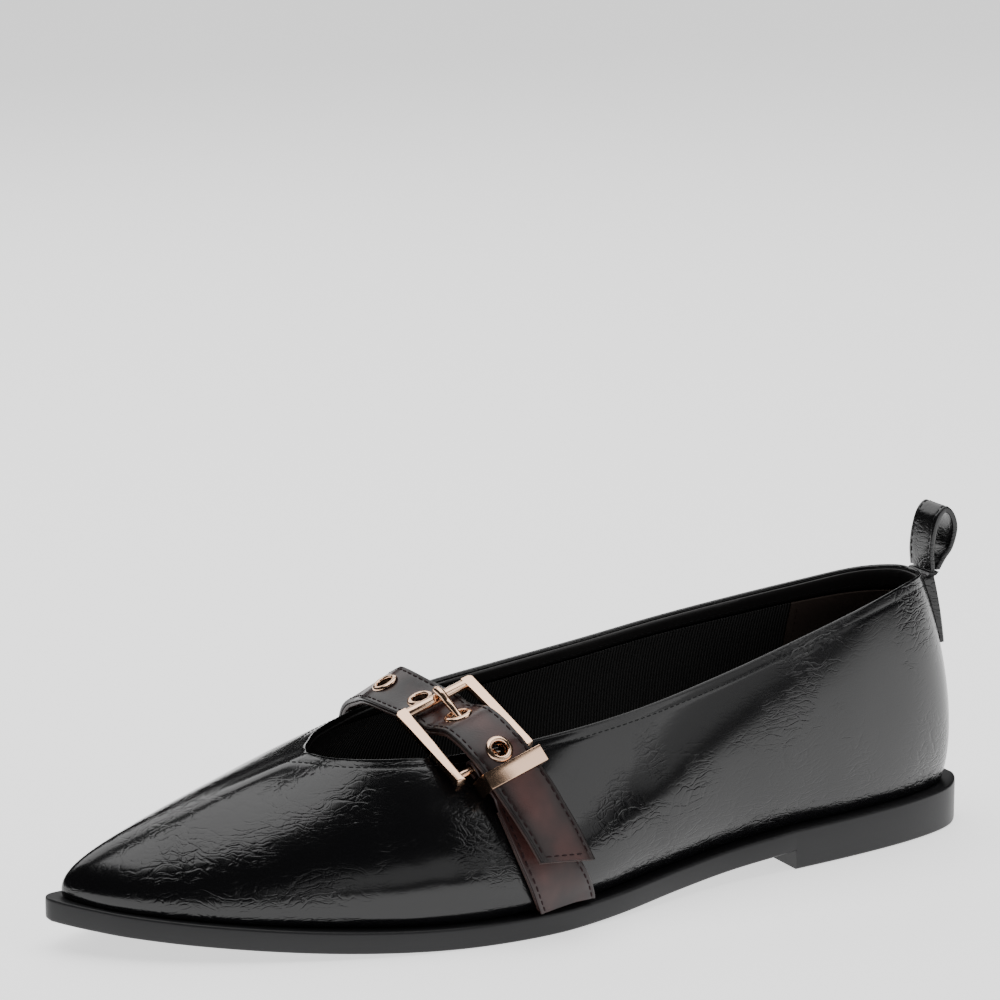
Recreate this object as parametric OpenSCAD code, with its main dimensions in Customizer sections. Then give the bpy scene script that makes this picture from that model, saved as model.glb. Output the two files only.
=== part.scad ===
// Pointed-toe flat shoe for the left foot, with one buckled strap.
// The toe points to -X, the heel to +X, the buckle side to -Y and the inner side to +Y.
// Shapes are laid out from the back of the sole, with x = 0 there, x = -275 at the toe,
// and z = 0 on the ground. seat_on_ground() then moves them over the part's own origin.

/* [Sole] */
// Thickness of the sole at its edge
sole_thick = 6; // [5:0.1:7]
// Height that the toe springs off the ground
toe_spring = 8.2; // [5:0.1:10]
// Height that the sole climbs from the ball to the front of the heel
waist_rise = 5.3; // [5:0.1:6]
// Distance from the back of the sole to the front of the heel
heel_length = 68; // [55:1:75]

/* [Upper] */
// Thickness of the outer leather
leather = 1.2; // [1:0.1:1.3]
// Thickness of the lining
lining = 0.75; // [0.5:0.05:0.8]
// Part of the wall's height that the inner facing band covers
facing_share = 0.1; // [0.1:0.1:0.2]

/* [Strap] */
// Width of the strap
strap_w = 15; // [12:0.5:15]
// Width of the chape at the sole
chape_w = 17; // [15:0.5:17]
// Thickness of each of the strap's two layers
strap_ply = 1.1; // [0.8:0.1:1.1]
// Outer diameter of an eyelet
eyelet_od = 7.4; // [6:0.1:8]
// Hole of an eyelet
eyelet_id = 4.7; // [4:0.1:5]

/* [Buckle] */
// Width of the buckle's frame over its arms
buckle_w = 25; // [24:0.5:26]
// Distance between the bar that the prong rests on and the bar that it turns on
bar_gap = 24; // [23:0.5:25]
// Diameter of the top bar
bar_d = 2.4; // [2:0.1:2.4]
// Diameter of the prong
prong_d = 2; // [1.8:0.1:2.2]
// Length of the keeper across the strap
keeper_w = 18.6; // [18.4:0.2:21]

/* [Pull loop] */
// Width of the pull loop's strip
loop_w = 11; // [9:0.5:12]
// Thickness of the pull loop's strip
loop_ply = 1.6; // [1:0.1:1.8]

/* [Hidden] */
origin_x = 137.5;
origin_y = 7.98;
gap = 0.15;
toe_x = -275;
ball_x = -172;
waist_x = -150;
heel_top = 12.1;
steps = 3;

// Plan of the sole, clockwise from the back: along the buckle side, round the toe and back.
SOLE = [[-2.5, -5.5], [-10, -13], [-25, -19], [-45, -23.5], [-68, -27], [-90, -29.5],
    [-110, -34.5], [-130, -41], [-148, -45], [-165, -46.5], [-185, -45], [-205, -40.5],
    [-225, -33.5], [-245, -24], [-259, -15], [-267, -7.5], [-273, -0.5], [-275, 4],
    [-273, 8], [-267, 11.5], [-256, 17.5], [-240, 25.5], [-222, 32.5], [-205, 36],
    [-188, 36.5], [-170, 34], [-150, 29], [-130, 25], [-110, 23.5], [-90, 24.5],
    [-68, 27], [-45, 27.5], [-22, 24.5], [-9, 18.5], [-2, 10], [0, 2]];

// The upper's wall, rib by rib in the same order. Each rib is one cubic curve from the sole's
// seat to the topline: its foot, two handles and its end. The first handle's z is above the seat.
RIBS = [
    [[-5, 2.5], [-0.5, 2.5, 13], [-3.5, 2, 50], [-13, 2, 72.5]],
    [[-9, -7.5], [-6, -11.5, 13], [-9, -10, 50], [-16, -6.5, 72.8]],
    [[-23, -14.5], [-21, -20.5, 13], [-23, -19.5, 50], [-25, -14, 73]],
    [[-45, -19.5], [-44, -26.5, 12], [-45, -26, 48], [-43, -21, 70]],
    [[-68, -22.5], [-68, -30.5, 11], [-69, -30, 44], [-68, -24.5, 63.8]],
    [[-92, -25.5], [-92, -34.5, 10], [-93, -33, 38], [-93, -26.5, 57.5]],
    [[-115, -31.5], [-115, -41, 9], [-117, -37.5, 34], [-119, -28.5, 52.2]],
    [[-138, -38.5], [-139, -48.5, 9], [-142, -43, 32], [-145, -28.5, 48.5]],
    [[-163, -42.5], [-164, -51, 9], [-167, -43, 33.5], [-169.5, -26.6, 46.3]],
    [[-187, -41], [-188, -48.5, 9], [-188, -38, 34], [-187.5, -25.1, 46.8]],
    [[-210, -35], [-212, -42, 9], [-205, -31, 35], [-197.8, -20.6, 46.9]],
    [[-231, -27.5], [-234, -33, 8.5], [-219, -23, 36], [-203, -14.5, 46.6]],
    [[-250, -18], [-254, -22, 8.5], [-234, -13, 34.5], [-205, -9, 46.4]],
    [[-263.5, -8], [-267.5, -10, 8.5], [-250, -4.5, 32], [-205.5, -6, 46.2]],
    [[-270.5, 3.5], [-273, 4, 9], [-256, 2.5, 30], [-204.5, -3, 46]],
    [[-264.5, 9], [-267.5, 12, 8.5], [-249, 9, 32], [-203, 0.5, 46]],
    [[-251, 16], [-254.5, 20.5, 8.5], [-236, 17, 34.5], [-200, 5, 46]],
    [[-232, 24.5], [-235, 31, 8.5], [-221, 25.5, 36], [-195, 11.5, 46.2]],
    [[-211, 31], [-213, 38, 9], [-205, 31.5, 37.5], [-187, 17.5, 46.8]],
    [[-188, 32.5], [-189, 40, 9], [-184, 36.5, 37.5], [-174, 23.5, 48.3]],
    [[-163, 28.5], [-163, 37, 9], [-160, 36, 37], [-155, 27, 51]],
    [[-138, 23], [-138, 31, 10], [-135, 33, 40], [-132, 27.5, 54]],
    [[-113, 20], [-113, 27.5, 11], [-110, 31, 44], [-108, 27, 57.4]],
    [[-90, 20.5], [-90, 28, 12], [-87, 30, 48], [-84, 26, 61.3]],
    [[-68, 23], [-68, 29.5, 12], [-65, 29, 50], [-62, 24, 64.7]],
    [[-45, 23.5], [-44, 30, 12], [-42, 28, 52], [-41, 21.5, 67.8]],
    [[-23, 20.5], [-20.5, 26.5, 13], [-20, 23, 52], [-24, 17, 70.8]],
    [[-9, 13.5], [-5, 17.5, 13], [-7.5, 14, 52], [-15, 9.5, 72.3]]];

// Rib numbers where pieces of the wall begin and end.
N_RIBS = len(RIBS);
HEEL_SEAM = [3, 25];
PUFF = [11, 17];
COUNTER = [25, 31];

// ---------------------------------------------------------------- curves and surfaces
function wrap(i, n) = (i % n + n) % n;
function unit(v) = v / norm(v);
function ramp(t) = max(0, min(1, t));

// Point at t between b and c on the smooth curve through a, b, c and d.
function through(a, b, c, d, t) = 0.5 * (2 * b + (c - a) * t
    + (2 * a - 5 * b + 4 * c - d) * t * t + (3 * b - a - 3 * c + d) * t * t * t);

function on_loop(p, u) = let (n = len(p), i = floor(u), t = u - i)
    through(p[wrap(i - 1, n)], p[wrap(i, n)], p[wrap(i + 1, n)], p[wrap(i + 2, n)], t);

function on_line(p, u) = let (n = len(p) - 1, i = min(floor(u), n - 1), t = u - i)
    through(p[max(i - 1, 0)], p[i], p[i + 1], p[min(i + 2, n)], t);

// Height of the sole's upper face: level under the heel, down the waist, up at the toe.
function seat(x) = x > -heel_length
    ? heel_top - 0.8 * (-x / heel_length)
    : heel_top - 0.8 - waist_rise * (1 - pow(ramp((x - waist_x) / (-heel_length - waist_x)), 1.25))
        + toe_spring * pow(ramp((x - ball_x) / (toe_x - ball_x)), 1.75);

RIB_POINTS = [for (r = RIBS) let (z = seat(r[0][0]))
    [[r[0][0], r[0][1], z], [r[1][0], r[1][1], z + r[1][2]], r[2], r[3]]];

function bezier(p, v) = pow(1 - v, 3) * p[0] + 3 * pow(1 - v, 2) * v * p[1]
    + 3 * (1 - v) * v * v * p[2] + pow(v, 3) * p[3];

function climb(p, v) = pow(1 - v, 2) * (p[1] - p[0]) + 2 * (1 - v) * v * (p[2] - p[1])
    + v * v * (p[3] - p[2]);

// Point on the wall at rib u and share v of its height, d outside the leather's face.
function wall(u, v, d) = let (
    along = bezier(on_loop(RIB_POINTS, u + 0.1), v) - bezier(on_loop(RIB_POINTS, u - 0.1), v),
    rib = on_loop(RIB_POINTS, u))
    bezier(rib, v) + d * unit(cross(climb(rib, v), along));

// Direction round the wall, towards the heel on the buckle side, at rib u and height v.
function wall_dir(u, v) = unit(bezier(on_loop(RIB_POINTS, u - 0.1), v)
    - bezier(on_loop(RIB_POINTS, u + 0.1), v));

// The foot of the wall, moved a share k of the way to the sole's middle, or d inwards.
function foot(u) = let (p = bezier(on_loop(RIB_POINTS, u), 0)) [p[0], p[1]];
function foot_in(u, k) = let (p = foot(u), m = [max(-225, min(-40, p[0])), -1.5]) p + k * (m - p);
function foot_edge(u, d) = let (t = foot(u + 0.1) - foot(u - 0.1)) foot(u) + d * unit([t[1], -t[0]]);

// Closed skin between two grids of points of the same size: grid[row][column].
// With loop, the last column joins the first.
module skin(outer, inner, loop = false) {
    rows = len(outer);
    cols = len(outer[0]);
    last = loop ? cols : cols - 1;
    half = rows * cols;
    function at(r, c, side) = side * half + r * cols + (c % cols);
    function quad(a, b, c, d) = [[a, b, c], [a, c, d]];
    faces = [
        for (r = [0 : rows - 2], c = [0 : last - 1])
            each quad(at(r, c, 0), at(r, c + 1, 0), at(r + 1, c + 1, 0), at(r + 1, c, 0)),
        for (r = [0 : rows - 2], c = [0 : last - 1])
            each quad(at(r, c, 1), at(r + 1, c, 1), at(r + 1, c + 1, 1), at(r, c + 1, 1)),
        for (c = [0 : last - 1])
            each quad(at(0, c + 1, 0), at(0, c, 0), at(0, c, 1), at(0, c + 1, 1)),
        for (c = [0 : last - 1])
            each quad(at(rows - 1, c, 0), at(rows - 1, c + 1, 0),
                at(rows - 1, c + 1, 1), at(rows - 1, c, 1)),
        if (!loop) for (r = [0 : rows - 2])
            each quad(at(r, 0, 0), at(r + 1, 0, 0), at(r + 1, 0, 1), at(r, 0, 1)),
        if (!loop) for (r = [0 : rows - 2])
            each quad(at(r + 1, cols - 1, 0), at(r, cols - 1, 0),
                at(r, cols - 1, 1), at(r + 1, cols - 1, 1))];
    polyhedron(points = [each for (row = outer) row, each for (row = inner) row], faces = faces);
}

function grid(ribs, heights, d) = [for (v = heights) [for (u = ribs) wall(u, v, d)]];

function rib_steps(from, to) = [for (i = [from * steps : to * steps]) i / steps];

// A piece of the wall between two depths below the leather's outer face.
module wall_piece(ribs, heights, depth, thick, loop = false)
    skin(grid(ribs, heights, -depth), grid(ribs, heights, -depth - thick), loop);

// A sheet that follows the sole's seat, between two heights over it, inside an outline.
module seat_sheet(outline, low, high, back, front) {
    xs = [for (i = [0 : 24]) back + (front - back) * i / 24];
    intersection() {
        linear_extrude(60) polygon(outline);
        rotate([90, 0, 0]) linear_extrude(160, center = true)
            polygon([for (x = xs) [x, seat(x) + low], for (i = [24 : -1 : 0]) [xs[i], seat(xs[i]) + high]]);
    }
}

module seat_on_ground() translate([origin_x, origin_y, 0]) children();

ALL_ROUND = [for (i = [0 : N_RIBS * steps - 1]) i / steps];

// ---------------------------------------------------------------- bottom of the shoe
// Moulded sole and low heel in one piece, its edge standing out as a rim round the upper.
module outsole() {
    plan = [for (i = [0 : len(SOLE) * 2 - 1]) on_loop(SOLE, i / 2)];
    xs = [for (i = [0 : 32]) 5 - i * 9];
    front = -heel_length;
    ground = [for (i = [32 : -1 : 0]) if (xs[i] < front - 4) [xs[i], max(0, seat(xs[i]) - sole_thick)]];
    color([0.08, 0.08, 0.08]) seat_on_ground() intersection() {
        linear_extrude(60) polygon(plan);
        rotate([90, 0, 0]) linear_extrude(160, center = true)
            polygon(concat([for (x = xs) [x, seat(x)]], ground,
                [[front, seat(front) - sole_thick], [front, 0], [5, 0]]));
    }
}

// Cork sheet that fills the forepart between the turned-in edges of the upper.
module bottom_filler() color([0.6, 0.45, 0.3]) seat_on_ground()
    seat_sheet([for (u = ALL_ROUND) foot_in(u, 0.42)], gap, leather + gap, -128, -256);

// Spring-steel strip that stiffens the waist.
module shank() color("lightsteelblue") seat_on_ground()
    seat_sheet([[-122, -8], [-122, 4], [-34, 10], [-34, -2]], gap, leather + gap, -36, -120);

module insole_board() color([0.75, 0.7, 0.6]) seat_on_ground()
    seat_sheet([for (u = ALL_ROUND) foot_edge(u, 1.8)], leather + 2 * gap, leather + 2 * gap + 2, 0, -272);

board_top = leather + 2 * gap + 2;
cushion = 2.5;

// Foam pad under the heel.
module heel_cushion() color([0.85, 0.8, 0.55]) seat_on_ground() intersection() {
    seat_sheet([for (u = ALL_ROUND) foot_edge(u, 5)], board_top + gap, board_top + gap + cushion, -8, -66);
    translate([-45, 2, 0]) cube([62, 60, 80], center = true);
}

// Sock that covers the board and the foam.
module sock_lining() {
    xs = [for (i = [0 : 24]) -6 - i * 10.7];
    function over_foam(x) = board_top + 2 * gap + (cushion + gap) * ramp((x + 84) / 15);
    low = [for (x = xs) [x, seat(x) + over_foam(x)]];
    high = [for (i = [24 : -1 : 0]) [xs[i], seat(xs[i]) + over_foam(xs[i]) + 1.2]];
    color([0.12, 0.1, 0.1]) seat_on_ground() intersection() {
        linear_extrude(60) polygon([for (u = ALL_ROUND) foot_edge(u, 3.4)]);
        rotate([90, 0, 0]) linear_extrude(160, center = true) polygon(concat(low, high));
    }
}

// ---------------------------------------------------------------- upper and linings
WALL_ROWS = [0, 0.1, 0.2, 0.3, 0.4, 0.5, 0.6, 0.7, 0.8, 0.9, 1];

// Outer leather, closed at the back seam and turned in under the insole board.
module upper_leather() {
    function flat(u, k, up) = let (p = foot_in(u, k)) [p[0], p[1], seat(p[0]) + up];
    outer = concat([[for (u = ALL_ROUND) flat(u, 0.3, gap)], [for (u = ALL_ROUND) flat(u, 0, gap)]],
        [for (v = WALL_ROWS) if (v > 0) [for (u = ALL_ROUND) wall(u, v, 0)]]);
    inner = concat([[for (u = ALL_ROUND) flat(u, 0.3, gap + leather)],
        [for (u = ALL_ROUND) flat(u, 0.03, gap + leather)]],
        [for (v = WALL_ROWS) if (v > 0) [for (u = ALL_ROUND) wall(u, v, -leather)]]);
    color([0.05, 0.05, 0.05]) seat_on_ground() skin(outer, inner, true);
}

stiff = 0.6;
under_leather = leather + gap;
under_stiff = under_leather + stiff + gap;

// Stiffener inside the toe.
module toe_puff() color([0.8, 0.8, 0.75]) seat_on_ground()
    wall_piece(rib_steps(PUFF[0], PUFF[1]), [0.17, 0.25, 0.3, 0.4, 0.5], under_leather, stiff);

// Stiffener round the back of the heel.
module heel_counter() color([0.8, 0.75, 0.7]) seat_on_ground()
    wall_piece(rib_steps(COUNTER[0], COUNTER[1]), [for (v = [0.15 : 0.1 : 0.75]) v], under_leather, stiff);

// Steps from one seam to another, just clear of both.
function between(from, to) = concat([from + 0.01], rib_steps(from + 1 / steps, to - 1 / steps), [to - 0.01]);
lining_top = 1 - facing_share - 0.01;
LINING_ROWS = [0.18, 0.3, 0.5, 0.7, lining_top];

// Ribbed cloth lining from one heel seam round the toe to the other.
module vamp_lining() color([0.02, 0.02, 0.02]) seat_on_ground()
    wall_piece(between(HEEL_SEAM[0], HEEL_SEAM[1]), LINING_ROWS, under_stiff, lining);

// Suede lining round the heel.
module heel_lining() color([0.2, 0.16, 0.14]) seat_on_ground()
    wall_piece(between(HEEL_SEAM[1], HEEL_SEAM[0] + N_RIBS), LINING_ROWS, under_stiff, lining);

// Smooth leather band inside the topline.
module topline_facing() color([0.07, 0.07, 0.07]) seat_on_ground()
    wall_piece(ALL_ROUND, [1 - facing_share, 1], under_leather, stiff + gap + lining, true);

// ---------------------------------------------------------------- strap and chape
// Place of the buckle: the middle of its top bar. Its own y axis runs up the strap towards the
// inner side, its x axis across the strap towards the heel, and its z axis outwards.
BUCKLE_AT = [-172.2, -14.1, 58.9];
BUCKLE_TURN = [31.5, -16, 8];
function turn_x(a, p) = [p[0], p[1] * cos(a) - p[2] * sin(a), p[1] * sin(a) + p[2] * cos(a)];
function turn_y(a, p) = [p[0] * cos(a) + p[2] * sin(a), p[1], p[2] * cos(a) - p[0] * sin(a)];
function turn_z(a, p) = [p[0] * cos(a) - p[1] * sin(a), p[0] * sin(a) + p[1] * cos(a), p[2]];
function turned(a, p) = turn_z(a[2], turn_y(a[1], turn_x(a[0], p)));
function by_buckle(x, y, z) = BUCKLE_AT + turned(BUCKLE_TURN, [x, y, z]);
ACROSS = turned(BUCKLE_TURN, [1, 0, 0]);
module on_buckle() translate(BUCKLE_AT) rotate(BUCKLE_TURN) children();

// Middle of the strap's outer face and the direction across it, from the inner side's seat,
// over the instep, under the top bar, over the heel bar and down to the tip.
STRAP = [
    [wall(19.9, 0.11, 2.7), -wall_dir(19.9, 0.11)],
    [wall(19.8, 0.3, 2.8), -wall_dir(19.8, 0.3)],
    [wall(19.6, 0.6, 2.8), -wall_dir(19.6, 0.6)],
    [wall(19.4, 0.82, 3), -wall_dir(19.4, 0.85)],
    [[-172.2, 27.4, 51], [0.92, 0, 0.39]],
    [[-173.2, 20, 54.7], [0.89, 0.05, 0.45]],
    [[-175, 10, 57.4], [0.87, 0.12, 0.44]],
    [by_buckle(0, 6.6, -6.6), [0.92, 0.15, 0.35]],
    [by_buckle(0.3, 0, -2.9), ACROSS],
    [by_buckle(0.7, -5.2, -2), ACROSS],
    [by_buckle(1.2, -8.7, 0.6), ACROSS],
    [by_buckle(1.2, -12.4, 3.3), ACROSS],
    [by_buckle(1.3, -18, 4.5), ACROSS],
    [by_buckle(1.4, -24, 4.25), ACROSS],
    [by_buckle(1.9, -28.2, 2.8), ACROSS],
    [by_buckle(2.2, -33.5, 0.4), ACROSS],
    [by_buckle(2.5, -38.8, -1.8), ACROSS],
    [by_buckle(2.6, -44.2, -4.1), [0.96, 0.17, 0.23]],
    [by_buckle(2.8, -49.8, -7), [0.96, 0.18, 0.21]],
    [by_buckle(2.9, -55.6, -10.7), [0.96, 0.2, 0.19]],
    [by_buckle(3, -61.2, -14.6), [0.96, 0.2, 0.19]]];

// Place of the heel bar in the buckle's frame, and a point round it at an angle.
HEEL_BAR = [0, -bar_gap, -1];
function by_bar(x, a, r) = by_buckle(x, HEEL_BAR[1] + r * cos(a), HEEL_BAR[2] + r * sin(a));

// Middle of the chape's outer face, from the buckle side's seat up the wall and round the bar.
fold_r = 2.42;
CHAPE = [
    [wall(7.38, 0, 2.8) - [0, 0, 2.5], -wall_dir(7.44, 0.11)],
    [wall(7.44, 0.11, 2.8), -wall_dir(7.44, 0.11)],
    [wall(7.56, 0.3, 2.8), -wall_dir(7.56, 0.3)],
    [wall(7.65, 0.52, 2.8), -wall_dir(7.65, 0.52)],
    [wall(7.68, 0.72, 3), -wall_dir(7.68, 0.72)],
    [by_buckle(2.1, -33, -3.1), -ACROSS],
    [by_buckle(1.8, -28.4, -1.2), -ACROSS],
    [by_bar(1.3, 112, fold_r), -ACROSS],
    [by_bar(1.3, 80, fold_r), -ACROSS],
    [by_bar(1.3, 35, fold_r), -ACROSS],
    [by_bar(1.3, -10, fold_r), -ACROSS],
    [by_bar(1.3, -55, fold_r), -ACROSS],
    [by_bar(1.3, -100, fold_r), -ACROSS],
    [by_buckle(1.3, -25.8, -3.5), -ACROSS]];

// The chape starts aslant, along the sole.
CHAPE_START = 0.965;
CHAPE_SLANT = 0.335;

// Point of a strap at station u, x across it and d outside its outer face.
function strap_at(path, u, x, d) = let (
    here = on_line(path, u),
    run = on_line(path, min(u + 0.1, len(path) - 1))[0] - on_line(path, max(u - 0.1, 0))[0],
    across = unit(here[1] - (here[1] * unit(run)) * unit(run)))
    here[0] + x * across + d * unit(cross(run, across));

// A ply of the strap or of the chape, between two depths, wider or not at its first edge.
// Its first and last edges may slant.
module ply(path, first_w, stations, depth, thick, first_slant = 0, last_slant = 0) {
    n = len(stations) - 1;
    function wide(i) = strap_w + (first_w - strap_w) * ramp(1 - stations[i] / 4.5);
    function edge(i, side) = stations[i] + side * (i == n ? last_slant
        : first_slant * ramp(1 + stations[0] - stations[i]));
    function rows(d) = [for (i = [0 : n]) [for (side = [-1, 0, 1])
        strap_at(path, edge(i, side), side * wide(i) / 2, d)]];
    skin(rows(-depth), rows(-depth - thick));
}

function stations(from, to, n) = [for (i = [0 : n]) from + (to - from) * i / n];
STRAP_END = len(STRAP) - 1.95;
TIP_SLANT = 0.42;
STRAP_STATIONS = stations(0, STRAP_END, 46);
back_ply = strap_ply + gap;
strap_thick = 2 * strap_ply + gap;

// Stations of the strap's eyelets, the third of them on the prong.
EYELETS = [6, 7.15, 10, 13.3];

// Sets its children at a station of the strap, z pointing out of the outer face.
module on_strap(u) {
    o = strap_at(STRAP, u, 0, 0);
    x = strap_at(STRAP, u, 1, 0) - o;
    z = strap_at(STRAP, u, 0, 1) - o;
    b = asin(-x[2]);
    translate(o) rotate([atan2(cross(z, x)[2], z[2]), b, atan2(x[1], x[0])]) children();
}

// Bar sizes, and the slope of the prong from the heel bar up to the top bar.
heel_bar_d = 2;
TOP_BAR_Z = -0.9;
loose = 0.35;
prong_rise = TOP_BAR_Z + (bar_d + prong_d) / 2 + loose - HEEL_BAR[2];
prong_tilt = atan2(prong_rise, bar_gap);

// A round rod from the heel bar out over the top bar.
module rod(d, from, to, lift = 0) on_buckle() translate(HEEL_BAR + [1.3, 0, 0])
    rotate([prong_tilt + lift - 90, 0, 0]) translate([0, 0, from])
        cylinder(d = d, h = to - from, $fn = 24);

// The strap's holes, and the way that the prong wears through the third of them.
module punched() difference() {
    children();
    for (u = EYELETS) on_strap(u) cylinder(d = eyelet_id + 1, h = 12, center = true, $fn = 20);
    prong_way();
}

module prong_way() for (lift = [0, 2, 4]) rod(prong_d + 2 * loose, 8, 23, lift);

// Burnished outer ply of the strap.
module strap() color([0.25, 0.16, 0.15]) seat_on_ground()
    punched() ply(STRAP, strap_w, STRAP_STATIONS, 0, strap_ply, 0, TIP_SLANT);

module strap_backing() color([0.08, 0.06, 0.06]) seat_on_ground()
    punched() ply(STRAP, strap_w, STRAP_STATIONS, back_ply, strap_ply, 0, TIP_SLANT);

// Turned metal rings clinched through both plies.
module eyelets() {
    inner = eyelet_id / 2;
    outer = eyelet_od / 2;
    color([0.9, 0.72, 0.6]) seat_on_ground() difference() {
        for (u = EYELETS) on_strap(u) rotate_extrude($fn = 40)
            polygon([[inner, 0.55], [inner + 0.2, 0.7], [outer - 0.4, 0.55], [outer, 0.1],
                [inner + 0.4, 0.1], [inner + 0.4, -strap_thick - 0.05],
                [outer - 0.6, -strap_thick - 0.05], [outer - 0.6, -strap_thick - 0.35],
                [inner, -strap_thick - 0.35]]);
        prong_way();
    }
}

// Leather band that holds the buckle: it climbs from the seat, turns round the heel bar through
// which the prong passes, and ends behind itself.
module chape() color([0.25, 0.16, 0.15]) seat_on_ground() difference() {
    ply(CHAPE, chape_w, stations(CHAPE_START, len(CHAPE) - 1, 36), 0, strap_ply, CHAPE_SLANT);
    on_buckle() translate([1.3, -24, 0]) cube([eyelet_od - 0.6, 9.6, 10], center = true);
}

module chape_backing() color([0.08, 0.06, 0.06]) seat_on_ground()
    ply(CHAPE, chape_w, stations(CHAPE_START, 4, 12), back_ply, strap_ply, CHAPE_SLANT);

// ---------------------------------------------------------------- metal parts
arm_wide = 3;
arm_end = 2.2;

// Frame of the buckle: a bar between two tapering arms, and the thinner heel bar.
module buckle_frame() {
    half = buckle_w / 2;
    long = bar_gap + 2.3;
    color([0.9, 0.72, 0.6]) seat_on_ground() on_buckle() translate([0.5, 0, 0]) {
        translate([0, 0, TOP_BAR_Z]) rotate([0, 90, 0])
            cylinder(d = bar_d, h = buckle_w - 4, center = true, $fn = 32);
        translate(HEEL_BAR) rotate([0, 90, 0])
            cylinder(d = heel_bar_d, h = buckle_w - 2, center = true, $fn = 32);
        for (side = [0, 1]) mirror([side, 0, 0]) translate([0, 0, -2.15]) linear_extrude(2.5)
            polygon([[half, 0.6], [half - 0.8, 1.3], [half - 3.4, 1.3], [half - arm_wide, -3],
                [half - arm_end, -long + 1.2], [half - arm_end, -long], [half, -long + 0.5]]);
    }
}

// Prong, ringed round the heel bar, its point over the top bar.
module buckle_prong() {
    ring = heel_bar_d + 2 * loose + 1.6;
    color([0.9, 0.72, 0.6]) seat_on_ground() {
        on_buckle() translate(HEEL_BAR + [1.3, 0, 0]) rotate([0, 90, 0]) difference() {
            cylinder(d = ring, h = prong_d, center = true, $fn = 32);
            cylinder(d = heel_bar_d + 2 * loose, h = prong_d + 1, center = true, $fn = 32);
        }
        rod(prong_d - 0.2, ring / 2 - 0.5, bar_gap + 1.4);
    }
}

// Metal loop round the strap and the chape.
module keeper() {
    wide = keeper_w;
    long = 4.7;
    over = 0.8;
    plate = 1.2;
    tall = 8;
    color([0.9, 0.72, 0.6]) seat_on_ground() on_buckle() translate([2.2, -31, 1.2])
        rotate([24.5, 0, 0]) rotate([90, 0, 0]) linear_extrude(long, center = true) difference() {
            translate([-wide / 2, over + plate - tall]) square([wide, tall]);
            translate([-strap_w / 2 - 0.6, over - tall + plate * 2]) square([strap_w + 1.2, tall - 2 * plate]);
        }
}

// ---------------------------------------------------------------- pull loop
LOOP = [[-11, 73], [-11.4, 78], [-10.8, 83.5], [-9.2, 88.5], [-6.4, 91], [-3.6, 89], [-2.2, 84.5],
    [-3.6, 79], [-6, 75.8], [-7.8, 73]];
// Root of the loop from the side: x and height. Its top falls away both ways to let the loop bend.
LOOP_ROOT = [[-11.6, 69.8], [-8.9, 69.8], [-8, 72], [-9.4, 72.7], [-11.1, 71.8]];
loop_y = 2;

// Strip folded into a loop that stands up behind the topline.
module pull_loop() {
    fine = [for (i = [0 : 36]) on_line(LOOP, i / 4)];
    inner = [for (i = [5 : 31]) let (t = fine[i + 1] - fine[i - 1])
        fine[i] + loop_ply * unit([t[1], -t[0]])];
    color([0.06, 0.06, 0.06]) seat_on_ground() translate([0, loop_y, 0])
        rotate([90, 0, 0]) linear_extrude(loop_w, center = true) difference() {
            polygon(fine);
            polygon(inner);
        }
}

// Both ends of the strip, sewn down over the back seam, and their root under the loop.
module back_strip() {
    rows = [for (i = [0 : 6]) 0.7 + i * 0.045];
    function thick(v) = 1 + 2.1 * (v - 0.7) / 0.27;
    function at(v, side, d) = wall(side * (0.5 + 0.12 * v), v, d);
    color([0.06, 0.06, 0.06]) seat_on_ground() {
        skin([for (v = rows) [for (s = [-2 : 2]) at(v, s / 2, gap + thick(v))]],
             [for (v = rows) [for (s = [-2 : 2]) at(v, s / 2, gap)]]);
        translate([0, loop_y, 0]) rotate([90, 0, 0]) linear_extrude(loop_w, center = true)
            polygon(LOOP_ROOT);
    }
}

// ---------------------------------------------------------------- put together
outsole();
bottom_filler();
shank();
insole_board();
heel_cushion();
sock_lining();
upper_leather();
toe_puff();
heel_counter();
vamp_lining();
heel_lining();
topline_facing();
strap();
strap_backing();
eyelets();
chape();
chape_backing();
buckle_frame();
buckle_prong();
keeper();
pull_loop();
back_strip();
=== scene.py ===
# A flat shoe for the left foot, with a pointed toe and one buckled strap over the instep.
# The sections follow the shoe as it is made: last, sole, upper, linings, strap, buckle, loop.
# Shapes are in millimetres from the back of the sole, where x = 0, and place() sets them down.
import math

import bmesh
import bpy
import numpy as np
from mathutils import Matrix, Vector, noise


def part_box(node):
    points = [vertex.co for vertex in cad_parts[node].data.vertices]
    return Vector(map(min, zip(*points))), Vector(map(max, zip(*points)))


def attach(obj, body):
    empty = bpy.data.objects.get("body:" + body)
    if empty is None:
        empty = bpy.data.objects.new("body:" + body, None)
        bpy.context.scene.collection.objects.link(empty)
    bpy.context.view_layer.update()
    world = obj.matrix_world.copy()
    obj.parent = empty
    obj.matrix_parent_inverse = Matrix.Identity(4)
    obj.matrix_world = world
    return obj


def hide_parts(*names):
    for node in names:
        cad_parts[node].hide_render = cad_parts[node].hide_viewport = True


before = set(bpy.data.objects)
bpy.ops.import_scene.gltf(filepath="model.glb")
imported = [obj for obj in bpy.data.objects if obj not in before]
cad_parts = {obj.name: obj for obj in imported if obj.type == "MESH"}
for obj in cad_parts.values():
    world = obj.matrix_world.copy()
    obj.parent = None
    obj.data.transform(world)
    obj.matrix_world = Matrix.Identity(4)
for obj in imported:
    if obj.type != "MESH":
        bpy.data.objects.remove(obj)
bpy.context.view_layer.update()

# ---------------------------------------------------------------- studio
# Pale table under a wide softbox, with one box behind and two dim cards in front. The camera
# stands low, on the buckle side and ahead of the shoe.
MM = 0.001


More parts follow.
